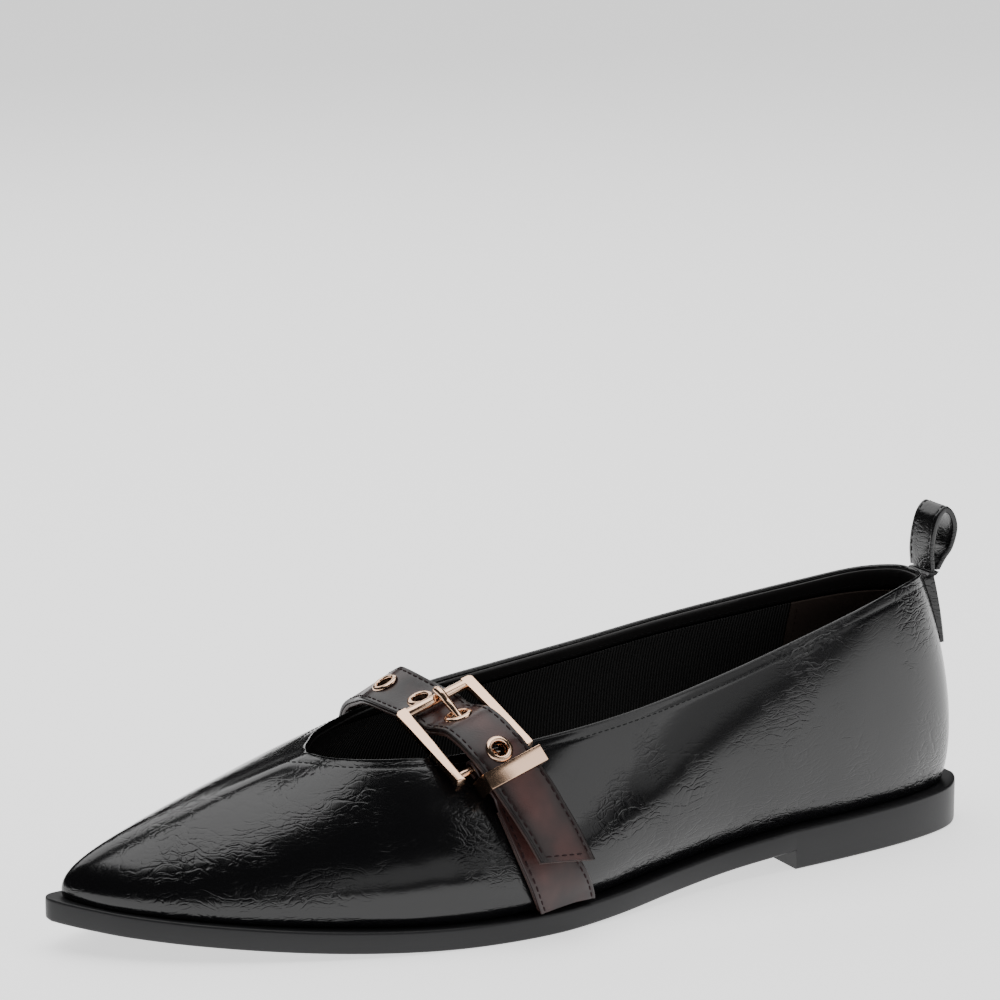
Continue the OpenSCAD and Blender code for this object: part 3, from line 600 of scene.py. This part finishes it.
# Middle of the strap's face and the direction across it.
STRAP = [
    [spot(19.9, 0.11, 2.7), -wall_dir(19.9, 0.11)],
    [spot(19.8, 0.3, 2.8), -wall_dir(19.8, 0.3)],
    [spot(19.6, 0.6, 2.8), -wall_dir(19.6, 0.6)],
    [spot(19.4, 0.82, 3), -wall_dir(19.4, 0.85)],
    [[-172.2, 27.4, 51], [0.92, 0, 0.39]],
    [[-173.2, 20, 54.7], [0.89, 0.05, 0.45]],
    [[-175, 10, 57.4], [0.87, 0.12, 0.44]],
    [by_buckle(0, 6.6, -6.6), [0.92, 0.15, 0.35]],
    [by_buckle(0.3, 0, -2.9), ACROSS],
    [by_buckle(0.7, -5.2, -2), ACROSS],
    [by_buckle(1.2, -8.7, 0.6), ACROSS],
    [by_buckle(1.2, -12.4, 3.3), ACROSS],
    [by_buckle(1.3, -18, 4.5), ACROSS],
    [by_buckle(1.4, -24, 4.25), ACROSS],
    [by_buckle(1.9, -28.2, 2.8), ACROSS],
    [by_buckle(2.2, -33.5, 0.4), ACROSS],
    [by_buckle(2.5, -38.8, -1.8), ACROSS],
    [by_buckle(2.6, -44.2, -4.1), [0.96, 0.17, 0.23]],
    [by_buckle(2.8, -49.8, -7), [0.96, 0.18, 0.21]],
    [by_buckle(2.9, -55.6, -10.7), [0.96, 0.2, 0.19]],
    [by_buckle(3, -61.2, -14.6), [0.96, 0.2, 0.19]]]
STRAP_END = len(STRAP) - 1.95
TIP_SLANT = 0.42


def strap_at(path, u, x, d):
    """Points at stations u of a strap, x across it and d outside its face."""
    middle = np.array([p[0] for p in path], float)
    sideways = np.array([p[1] for p in path], float)
    u = np.asarray(u, float)
    here, across = on_line(middle, u), on_line(sideways, u)
    run = (on_line(middle, np.minimum(u + 0.1, len(path) - 1))
           - on_line(middle, np.maximum(u - 0.1, 0)))
    run /= np.linalg.norm(run, axis=1, keepdims=True)
    across = across - run * (across * run).sum(1, keepdims=True)
    across /= np.linalg.norm(across, axis=1, keepdims=True)
    out = np.cross(run, across)
    return here + np.asarray(x)[..., None] * across + np.asarray(d)[..., None] * out


def ply_outline(wide, depth, thick, plump=0.12):
    """Outline across a ply: flat face, a sunk line under each row of stitches, round edges."""
    half, r = wide / 2, min(0.4, thick * 0.4)
    face = np.r_[-half + r, -half + 0.9, -half + 1.25, -half + 1.6, -half + 2.1,
                 np.linspace(-half + 3.4, half - 3.4, 5), half - 2.1, half - 1.6, half - 1.25,
                 half - 0.9, half - r]
    sunk = -plump * np.exp(-((np.abs(face) - (half - 1.25)) / 0.4) ** 2)
    outline = [(x, -depth + s) for x, s in zip(face, sunk)]
    for angle in (60, 30, 0, -30, -60):
        a = math.radians(angle)
        low = -depth - r if angle >= 0 else -depth - thick + r
        outline.append((half - r + r * math.cos(a), low + r * math.sin(a)))
    outline += [(x, -depth - thick) for x in np.linspace(half - r, -half + r, 6)]
    for angle in (240, 210, 180, 150, 120):
        a = math.radians(angle)
        low = -depth - r if angle <= 180 else -depth - thick + r
        outline.append((-half + r + r * math.cos(a), low + r * math.sin(a)))
    return np.array(outline)


def ply_rings(path, stations, depth, thick, first_w=STRAP_W, first_slant=0.0, last_slant=0.0,
              plump=0.12):
    """Rings along a ply. Its ends may slant, and it may start wider than the strap."""
    n = len(stations) - 1
    rings = []
    for i, u in enumerate(stations):
        wide = STRAP_W + (first_w - STRAP_W) * min(1, max(0, 1 - u / 4.5))
        ring = ply_outline(wide, depth, thick, plump)
        side = 2 * ring[:, 0] / wide
        lean = (first_slant * max(0, 1 + stations[0] - u)
                + last_slant * max(0, 1 - (n - i) / (n * 0.08)))
        rings.append(strap_at(path, u + side * lean, ring[:, 0], ring[:, 1]))
    return rings


def burnished_with_painted_highlight(name, dark, warm_burnish_and_highlight, wide):
    """Dark-dyed edges and a warm middle, partly rubbed and partly painted highlight, under a gloss.
    """
    made = leather_gloss(name, warm_burnish_and_highlight, 0.32, 0.12, 1.8, coat=0.08, coat_rough=0.2)
    shade(made, "Specular IOR Level", 0.3)
    lie = node(made, "UVMap", uv_map="cut")
    split = node(made, "SeparateXYZ", {"Vector": lie.outputs["UV"]})
    # Warm band across the middle: partly rubbed leather, partly a painted highlight.
    middle = node(made, "Math", {0: split.outputs["Y"], 1: wide / 2 * MM}, operation="SUBTRACT")
    away = node(made, "Math", {0: middle.outputs[0]}, operation="ABSOLUTE")
    burnish_and_highlight_mask = node(made, "MapRange", {"Value": away.outputs[0], "From Min": wide * 0.12 * MM,
                                     "From Max": wide * 0.5 * MM, "To Min": 1.0, "To Max": 0.0},
                  interpolation_type="SMOOTHSTEP")
    # Noise patches that lighten the warm middle along the strap: painted reflection.
    where = node(made, "TexCoord")
    cloud = node(made, "TexNoise", {"Vector": where.outputs["Object"], "Scale": 55.0,
                                    "Detail": 3.0})
    painted_reflection_patches = node(made, "MapRange", {"Value": cloud.outputs["Fac"], "From Min": 0.35,
                                  "From Max": 0.62})
    both = node(made, "Math", {0: burnish_and_highlight_mask.outputs["Result"], 1: painted_reflection_patches.outputs["Result"]},
                operation="MULTIPLY")
    tint = node(made, "MixRGB", {"Fac": both.outputs[0], "Color1": (*dark, 1),
                                 "Color2": (*warm_burnish_and_highlight, 1)})
    shade(made, "Base Color", tint.outputs["Color"])
    return made


strap_leather = burnished_with_painted_highlight("strap_leather_painted_highlight", (0.013, 0.009, 0.009), (0.075, 0.029, 0.026),
                          STRAP_W)
backing = leather_gloss("backing_leather", (0.035, 0.016, 0.013), 0.45, 0.15, 1.8)
maroon_thread = thread_of("maroon_thread", (0.016, 0.005, 0.006))

strap_stations = np.linspace(0, STRAP_END, 230)
strap = skin("strap_outer_ply", ply_rings(STRAP, strap_stations, 0, PLY, last_slant=TIP_SLANT),
             strap_leather, stands_for=["strap"], sharp=50)
strap_back = skin("strap_inner_ply", ply_rings(STRAP, strap_stations, PLY + 0.04, PLY + 0.05,
                                               last_slant=TIP_SLANT, plump=0),
                  backing, stands_for=["strap_backing"], sharp=50)

STRAP_THICK = 2 * PLY + GAP
EYELETS = [6, 7.15, 10, 13.3]
EYELET_HOLE = 4.7


def strap_frame(u):
    """Matrix of a place on the strap: x across it, z out of its face."""
    o = strap_at(STRAP, [u], 0, 0)[0]
    x = strap_at(STRAP, [u], 1, 0)[0] - o
    z = strap_at(STRAP, [u], 0, 1)[0] - o
    o = place(o)
    y = np.cross(z, x)
    return Matrix([[x[i], y[i], z[i], o[i]] for i in range(3)] + [[0, 0, 0, 1]])


def rod_mesh(work, radius, low, high, matrix, sides=32):
    """A plain rod along z between two heights, in millimetres, added to a bmesh."""
    lift = Matrix.Translation((0, 0, (low + high) / 2 * MM))
    bmesh.ops.create_cone(work, cap_ends=True, segments=sides, radius1=radius * MM,
                          radius2=radius * MM, depth=(high - low) * MM, matrix=matrix @ lift)


BAR_GAP = 24.0
HEEL_BAR = (0.0, -BAR_GAP, -1.0)
TOP_BAR_Z, TOP_BAR_R = -0.9, 1.2
PRONG_D = 2.0
PRONG_X = 1.3
PRONG_LIFTS = (0, 2, 4)
PRONG_WAY = 2.7
PRONG_TILT = math.degrees(math.atan2(
    TOP_BAR_Z - HEEL_BAR[2] + TOP_BAR_R + 0.35 + PRONG_D / 2, BAR_GAP))


def buckle_matrix(x, y, z, tilt=0.0):
    """Matrix of a point in the buckle's frame, its z axis tilted up from the prong's own run."""
    turn = BUCKLE_TURN.to_4x4() @ Matrix.Rotation(math.radians(tilt - 90), 4, "X")
    return Matrix.Translation(place(by_buckle(x, y, z)).tolist()) @ turn


def pierce(piece, name, eyelets=EYELETS):
    """Cuts the eyelets' holes through a piece, and the prong's way as it lifts."""
    work = bmesh.new()
    for u in eyelets:
        rod_mesh(work, EYELET_HOLE / 2 + 0.35, -6, 6, strap_frame(u))
    for lift in PRONG_LIFTS:
        rod_mesh(work, PRONG_WAY / 2, 8, 22,
                 buckle_matrix(PRONG_X, *HEEL_BAR[1:], PRONG_TILT + lift))
    cut_away(piece, work, name)


def cut_away(piece, work, name):
    """Takes a bmesh away from a piece, for good, and frees it."""
    mesh = bpy.data.meshes.new(name)
    work.to_mesh(mesh)
    work.free()
    punch = bpy.data.objects.new(name, mesh)
    bpy.context.scene.collection.objects.link(punch)
    cut = piece.modifiers.new("holes", "BOOLEAN")
    cut.object, cut.operation, cut.solver, cut.use_self = punch, "DIFFERENCE", "EXACT", True
    graph = bpy.context.evaluated_depsgraph_get()
    holed = bpy.data.meshes.new_from_object(piece.evaluated_get(graph))
    piece.modifiers.clear()
    piece.data = holed
    bpy.data.objects.remove(punch)


pierce(strap, "strap_punch")
pierce(strap_back, "backing_punch")


def edge_row(name, path, stations, x):
    """A row of stitches along a strap, x across it."""
    line = strap_at(path, stations, x, -0.06)
    stitches(name, line, strap_at(path, stations, x, 1.0) - line, maroon_thread,
             pitch=2.5, length=1.75, thick=0.46)


ROW_IN = 1.25
for side, name in ((-1, "toe_side"), (1, "heel_side")):
    reach = STRAP_END + side * TIP_SLANT * (1 - 2 * ROW_IN / STRAP_W) - 0.2
    edge_row(f"strap_stitches_{name}", STRAP, np.linspace(0.1, reach, 300),
             side * (STRAP_W / 2 - ROW_IN))
tip_x = np.linspace(-STRAP_W / 2 + ROW_IN, STRAP_W / 2 - ROW_IN, 30)
tip_line = strap_at(STRAP, STRAP_END - 0.22 + tip_x / STRAP_W * 2 * TIP_SLANT, tip_x, -0.02)
tip_up = strap_at(STRAP, np.full(30, STRAP_END - 0.3), tip_x, 1.0) - strap_at(
    STRAP, np.full(30, STRAP_END - 0.3), tip_x, 0.0)
stitches("strap_stitches_tip", tip_line, tip_up, maroon_thread, pitch=2.3,
         length=1.6, thick=0.46)

# ---------------------------------------------------------------- chape
# Band of the same leather that carries the buckle: it rises from the sole's edge, folds round the
# heel bar with a slot for the prong, and is stitched along both edges.
CHAPE_W = 17.0
fold_r = 2.42


def by_bar(x, angle, r):
    a = math.radians(angle)
    return by_buckle(x, HEEL_BAR[1] + r * math.cos(a), HEEL_BAR[2] + r * math.sin(a))


CHAPE = [
    [spot(7.38, 0, 2.8) - [0, 0, 2.5], -wall_dir(7.44, 0.11)],
    [spot(7.44, 0.11, 2.8), -wall_dir(7.44, 0.11)],
    [spot(7.56, 0.3, 2.8), -wall_dir(7.56, 0.3)],
    [spot(7.65, 0.52, 2.8), -wall_dir(7.65, 0.52)],
    [spot(7.68, 0.72, 3), -wall_dir(7.68, 0.72)],
    [by_buckle(2.1, -33, -3.1), -ACROSS],
    [by_buckle(1.8, -28.4, -1.2), -ACROSS],
    [by_bar(1.3, 112, fold_r), -ACROSS],
    [by_bar(1.3, 80, fold_r), -ACROSS],
    [by_bar(1.3, 35, fold_r), -ACROSS],
    [by_bar(1.3, -10, fold_r), -ACROSS],
    [by_bar(1.3, -55, fold_r), -ACROSS],
    [by_bar(1.3, -100, fold_r), -ACROSS],
    [by_buckle(1.3, -25.8, -3.5), -ACROSS]]
CHAPE_START, CHAPE_SLANT = 0.965, 0.335
chape_stations = np.linspace(CHAPE_START, len(CHAPE) - 1, 170)
chape_leather = burnished_with_painted_highlight("chape_leather_painted_highlight", (0.015, 0.009, 0.009),
                          (0.07, 0.027, 0.024), CHAPE_W)
chape = skin("chape_outer_ply", ply_rings(CHAPE, chape_stations, 0, PLY, CHAPE_W, CHAPE_SLANT),
             chape_leather, stands_for=["chape"], sharp=50)
skin("chape_inner_ply", ply_rings(CHAPE, np.linspace(CHAPE_START, 4, 60), PLY + 0.04, PLY + 0.05,
                                  CHAPE_W, CHAPE_SLANT, plump=0), backing,
     stands_for=["chape_backing"], sharp=50)

slot_cut = bmesh.new()
bmesh.ops.create_cube(slot_cut, size=1.0, matrix=buckle_matrix(PRONG_X, -BAR_GAP, 0, 90)
                      @ Matrix.Diagonal((6.8 * MM, 9.6 * MM, 10 * MM, 1)))
cut_away(chape, slot_cut, "slot_punch")

for side, name in ((-1, "heel_side"), (1, "toe_side")):
    rows = np.linspace(CHAPE_START + side * CHAPE_SLANT * 0.85, 6.0, 120)
    wide = STRAP_W + (CHAPE_W - STRAP_W) * np.clip(1 - rows / 4.5, 0, 1)
    edge_row(f"chape_stitches_{name}", CHAPE, rows, side * (wide / 2 - ROW_IN))

# ---------------------------------------------------------------- eyelets
# Turned brass rings with a rose-gold plating, clinched through both plies.
def plated(name, tint, rough):
    """Polished rose-gold plating with faint wear and hairlines."""
    made = finish_of(name, Base_Color=(*tint, 1), Metallic=1.0, Roughness=rough)
    where = node(made, "TexCoord")
    worn = node(made, "TexNoise", {"Vector": where.outputs["Object"], "Scale": 260.0,
                                   "Detail": 4.0})
    dull = node(made, "MapRange", {"Value": worn.outputs["Fac"], "To Min": rough * 0.7,
                                   "To Max": rough * 1.6})
    shade(made, "Roughness", dull.outputs["Result"])
    hairs = node(made, "TexNoise", {"Vector": where.outputs["Object"], "Scale": 1800.0,
                                    "Detail": 2.0})
    marks = node(made, "Bump", {"Strength": 0.03, "Distance": 0.0001,
                                "Height": hairs.outputs["Fac"]})
    shade(made, "Normal", marks.outputs["Normal"])
    return made


rose_gold = plated("rose_gold_plating", (0.8, 0.53, 0.37), 0.14)
EYELET_D = 7.4
rim, low = EYELET_D / 2, -STRAP_THICK
hole = EYELET_HOLE / 2 - 0.25
roll = [(hole + 0.3, low - 0.3), (hole + 0.3, -0.5), (hole, -0.1), (hole, 0.3),
        (hole + 0.12, 0.6), (hole + 0.4, 0.8), (hole + 0.75, 0.8),
        (rim - 0.35, 0.6), (rim - 0.08, 0.35), (rim, 0.12), (rim - 0.1, 0.04), (hole + 0.6, 0.02),
        (hole + 0.55, low - 0.04), (rim - 0.6, low - 0.06), (rim - 0.6, low - 0.3)]
work = bmesh.new()
TURNS = 56
for u in EYELETS:
    here = strap_frame(u)
    wider = 0.25 if u == EYELETS[2] else 0
    turn = np.arange(TURNS) * 2 * math.pi / TURNS
    rings = [[work.verts.new(here @ Vector(((r + wider) * MM * math.cos(a),
                                            (r + wider) * MM * math.sin(a), z * MM)))
              for r, z in roll] for a in turn]
    for i in range(TURNS):
        for j in range(len(roll)):
            k = (j + 1) % len(roll)
            work.faces.new((rings[i][j], rings[(i + 1) % TURNS][j], rings[(i + 1) % TURNS][k],
                            rings[i][k]))
eyelet_mesh = bpy.data.meshes.new("eyelet_rings")
work.to_mesh(eyelet_mesh)
work.free()
rings = finished("eyelet_rings", eyelet_mesh, rose_gold, stands_for=["eyelets"],
                 sharp=45)
pierce(rings, "ring_punch", eyelets=())

# ---------------------------------------------------------------- buckle
# Cast and polished frame: two tapering arms, a round top bar between them, and a thinner heel bar
# that the chape folds round. The prong hooks on the heel bar and its tip curls over the top bar.
BUCKLE_W = 25.0
TOP_BAR_LONG = 1.5
LIFT = Matrix.Translation(place(BUCKLE_AT).tolist()) @ BUCKLE_TURN.to_4x4() @ Matrix.Scale(MM, 4)


def soften(work, width, steps=2, angle=30):
    """Rounds the edges of a bmesh that are sharper than an angle."""
    sharp = [e for e in work.edges if len(e.link_faces) == 2
             and e.calc_face_angle(0) > math.radians(angle)]
    bmesh.ops.bevel(work, geom=sharp, offset=width, segments=steps, profile=0.6, affect="EDGES",
                    clamp_overlap=True)


def cast(name, shapes, body, stands_for, edge=0.3):
    """A metal piece cast from prisms: each an outline, its two heights and its own turn."""
    whole = bmesh.new()
    for outline, low, high, turn in shapes:
        part = bmesh.new()
        bottom = part.faces.new([part.verts.new((x, y, low)) for x, y in outline])
        top = bmesh.ops.extrude_face_region(part, geom=[bottom])["geom"]
        bmesh.ops.translate(part, verts=[v for v in top if isinstance(v, bmesh.types.BMVert)],
                            vec=(0, 0, high - low))
        bmesh.ops.recalc_face_normals(part, faces=part.faces)
        soften(part, edge)
        part.transform(turn)
        held = bpy.data.meshes.new("held")
        part.to_mesh(held)
        part.free()
        whole.from_mesh(held)
        bpy.data.meshes.remove(held)
    whole.transform(LIFT)
    mesh = bpy.data.meshes.new(name)
    whole.to_mesh(mesh)
    whole.free()
    return finished(name, mesh, rose_gold, body, stands_for, sharp=25)


half = BUCKLE_W / 2
end = BAR_GAP + 2.3
arm = [(half, 0.6), (half - 0.8, 1.3), (half - 3.4, 1.3), (half - 3, -3), (half - 2.2, -end + 1.2),
       (half - 2.2, -end), (half, -end + 0.5)]
circle = [(math.cos(a), math.sin(a)) for a in np.arange(28) * 2 * math.pi / 28]
lay_across = Matrix.Translation((0.5, 0, 0)) @ Matrix.Rotation(math.radians(90), 4, "Y")
shapes = [([(s * x + 0.5, y) for x, y in arm], -2.15, 0.35, Matrix.Identity(4)) for s in (1, -1)]
shapes.append(([(-TOP_BAR_Z + TOP_BAR_R * x, TOP_BAR_LONG * y) for x, y in circle],
               -10.6, 10.6, lay_across))
shapes.append(([(-HEEL_BAR[2] + x, HEEL_BAR[1] + y) for x, y in circle], -11.2, 11.2, lay_across))
cast("buckle", shapes, "buckle", ["buckle_frame"], 0.32)

ring_turn = np.radians(np.arange(-60, 290, 14))
hook = [(HEEL_BAR[1] + 2.0 * math.cos(a), HEEL_BAR[2] + 2.0 * math.sin(a), 0.75)
        for a in ring_turn[::-1]]
rise_to = HEEL_BAR[2] + BAR_GAP * math.tan(math.radians(PRONG_TILT))
shaft = [(y, -1 + (y + BAR_GAP) * (rise_to + 1) / BAR_GAP,
          0.9 + 0.22 * min(1, max(0, (y + 8) / 3))) for y in np.linspace(-21.5, -3, 24)]
curl = [(-1.8, rise_to + 0.05, 1.18), (-0.6, rise_to + 0.12, 1.22), (0.3, rise_to + 0.04, 1.22),
        (0.95, rise_to - 0.24, 1.12), (1.4, rise_to - 0.66, 0.9), (1.6, rise_to - 1.0, 0.5)]


def rod(name, line, x, mat, body, stands_for, sides=20):
    """A round rod of changing thickness along points (y, z, radius) in the buckle's frame."""
    line = np.array(line)
    rings = []
    for i, (y, z, r) in enumerate(line):
        ahead = line[min(i + 1, len(line) - 1)] - line[max(i - 1, 0)]
        run = Vector((0, ahead[0], ahead[1])).normalized()
        up = run.cross(Vector((1, 0, 0)))
        middle, side_ways, up = np.array([x, y, z]), np.array([1.0, 0, 0]), np.array(up)
        rings.append([by_buckle(*(middle + r * (math.cos(a) * side_ways + math.sin(a) * up)))
                      for a in np.arange(sides) * 2 * math.pi / sides])
    return skin(name, rings, mat, body, stands_for, sharp=60)


rod("prong", shaft + curl, PRONG_X, rose_gold, "prong", ["buckle_prong"])
rod("prong_hook", hook, PRONG_X, rose_gold, "prong", [])

# ---------------------------------------------------------------- keeper
# Rectangular metal loop that holds the strap's tail, with a flat blank face and crisp edges.
KEEPER_W, KEEPER_LONG, KEEPER_TALL, PLATE = 18.6, 4.7, 8.0, 1.2
keeper_turn = Matrix.Translation((2.2, -31, 1.2)) @ Matrix.Rotation(math.radians(24.5), 4, "X") \
    @ Matrix.Rotation(math.radians(90), 4, "X")
top, low = 2.0, 2.0 - KEEPER_TALL
inner = STRAP_W / 2 + 0.6
work = bmesh.new()
outer = [(-KEEPER_W / 2, low), (KEEPER_W / 2, low), (KEEPER_W / 2, top), (-KEEPER_W / 2, top)]
inside_loop = [(-inner, low + PLATE), (inner, low + PLATE), (inner, top - PLATE),
               (-inner, top - PLATE)]
ends = []
for z in (-KEEPER_LONG / 2, KEEPER_LONG / 2):
    ends.append([[work.verts.new((x, y, z)) for x, y in loop] for loop in (outer, inside_loop)])
for i in range(4):
    k = (i + 1) % 4
    (o0, i0), (o1, i1) = ends
    work.faces.new((o0[i], o0[k], o1[k], o1[i]))
    work.faces.new((i0[k], i0[i], i1[i], i1[k]))
    work.faces.new((o0[k], o0[i], i0[i], i0[k]))
    work.faces.new((o1[i], o1[k], i1[k], i1[i]))
bmesh.ops.recalc_face_normals(work, faces=work.faces)
soften(work, 0.28)
work.transform(LIFT @ keeper_turn)
keeper_mesh = bpy.data.meshes.new("keeper")
work.to_mesh(keeper_mesh)
work.free()
finished("keeper_loop", keeper_mesh, rose_gold, "keeper", ["keeper"], sharp=25)

# ---------------------------------------------------------------- pull loop
# Strip of the upper's leather, folded over and edge-stitched. Its ends run down over the back seam
# and are sewn there.
LOOP = [[-11, 73], [-11.4, 78], [-10.8, 83.5], [-9.2, 88.5], [-6.4, 91], [-3.6, 89], [-2.2, 84.5],
    [-3.6, 79], [-6, 75.8], [-7.8, 73]]
LOOP_Y, LOOP_W, LOOP_PLY = 2.0, 11.0, 1.6
loop_leather = leather_gloss("loop_leather", (0.005, 0.005, 0.0055), 0.18, 0.28, 1.3)


def loop_point(u, y, depth):
    """Points of the pull loop's strip at stations u, y across it and a depth below its face."""
    u = np.clip(np.asarray(u, float), 0, len(LOOP) - 1)
    here = on_line(LOOP, u)
    run = on_line(LOOP, np.minimum(u + 0.1, len(LOOP) - 1)) - on_line(LOOP, np.maximum(u - 0.1, 0))
    run /= np.linalg.norm(run, axis=1, keepdims=True)
    deep = here + np.asarray(depth)[..., None] * np.stack([run[:, 1], -run[:, 0]], 1)
    return np.stack([deep[:, 0], np.full(len(deep), LOOP_Y) + y, deep[:, 1]], 1)


loop_outline = ply_outline(LOOP_W, 0, LOOP_PLY, 0.08)
loop_rings = [loop_point(np.full(len(loop_outline), u), loop_outline[:, 0], -loop_outline[:, 1])
              for u in np.linspace(0, len(LOOP) - 1, 140)]
loop_rings[-1][:, 0] = LOOP[-1][0] + loop_outline[:, 1]
loop_rings[-1][:, 2] = LOOP[-1][1]
skin("pull_strip", loop_rings, loop_leather, "loop", ["pull_loop"], sharp=60)
for side, name in ((-1, "outer"), (1, "inner")):
    stations = np.linspace(0.3, len(LOOP) - 1.3, 160)
    line = loop_point(stations, side * (LOOP_W / 2 - 1.25), 0.04)
    up = loop_point(stations, side * (LOOP_W / 2 - 1.25), -1.0) - line
    stitches(f"loop_stitches_{name}", line, up, black_thread, "loop", pitch=2.1,
             length=1.45, thick=0.36)

tab_rows = np.linspace(0.7, 0.968, 40)
tab_rings = []
for v in tab_rows:
    reach = 0.5 + 0.12 * v
    proud = 1 + 2.1 * (v - 0.7) / 0.27
    ring = []
    for s, d in ((-1, GAP), (-1, GAP + proud * 0.8), (-0.94, GAP + proud),
                 (-0.84, GAP + proud - 0.1),
                 (-0.74, GAP + proud), (0, GAP + proud + 0.06), (0.74, GAP + proud),
                 (0.84, GAP + proud - 0.1), (0.94, GAP + proud), (1, GAP + proud * 0.8), (1, GAP),
                 (0, GAP)):
        ring.append(spot(s * reach, v, d))
    tab_rings.append(ring)
for share, z in ((0.5, 71.6), (0.85, 72.15), (1.0, 72.3)):
    ring = []
    for s, d in ((-1, 0), (-1, 0.8), (-0.94, 1), (-0.84, 0.97), (-0.74, 1), (0, 1), (0.74, 1),
                 (0.84, 0.97), (0.94, 1), (1, 0.8), (1, 0), (0, 0)):
        last = np.array(tab_rings[len(tab_rows) - 1][len(ring)])
        root = np.array([-11.1 + 3.1 * d, LOOP_Y - LOOP_W / 2 * s, z + 0.3 * (1 - abs(2 * d - 1))])
        ring.append([*(last[:2] * (1 - share) + root[:2] * share),
                     max(root[2], last[2]) if share < 1 else root[2]])
    tab_rings.append(ring)
skin("back_tab", tab_rings, loop_leather, stands_for=["back_strip"], sharp=50)
for side, name in ((-1, "inner"), (1, "outer")):
    line = np.array([spot(side * 0.84 * (0.5 + 0.12 * v), v, GAP + 0.95 + 2.1 * (v - 0.7) / 0.27)
                     for v in tab_rows])
    up = np.array([spot(side * 0.5, v, 4.0) - spot(side * 0.5, v, 0.0) for v in tab_rows])
    stitches(f"tab_stitches_{name}", line, up, black_thread, pitch=2.1, length=1.45,
             thick=0.36)
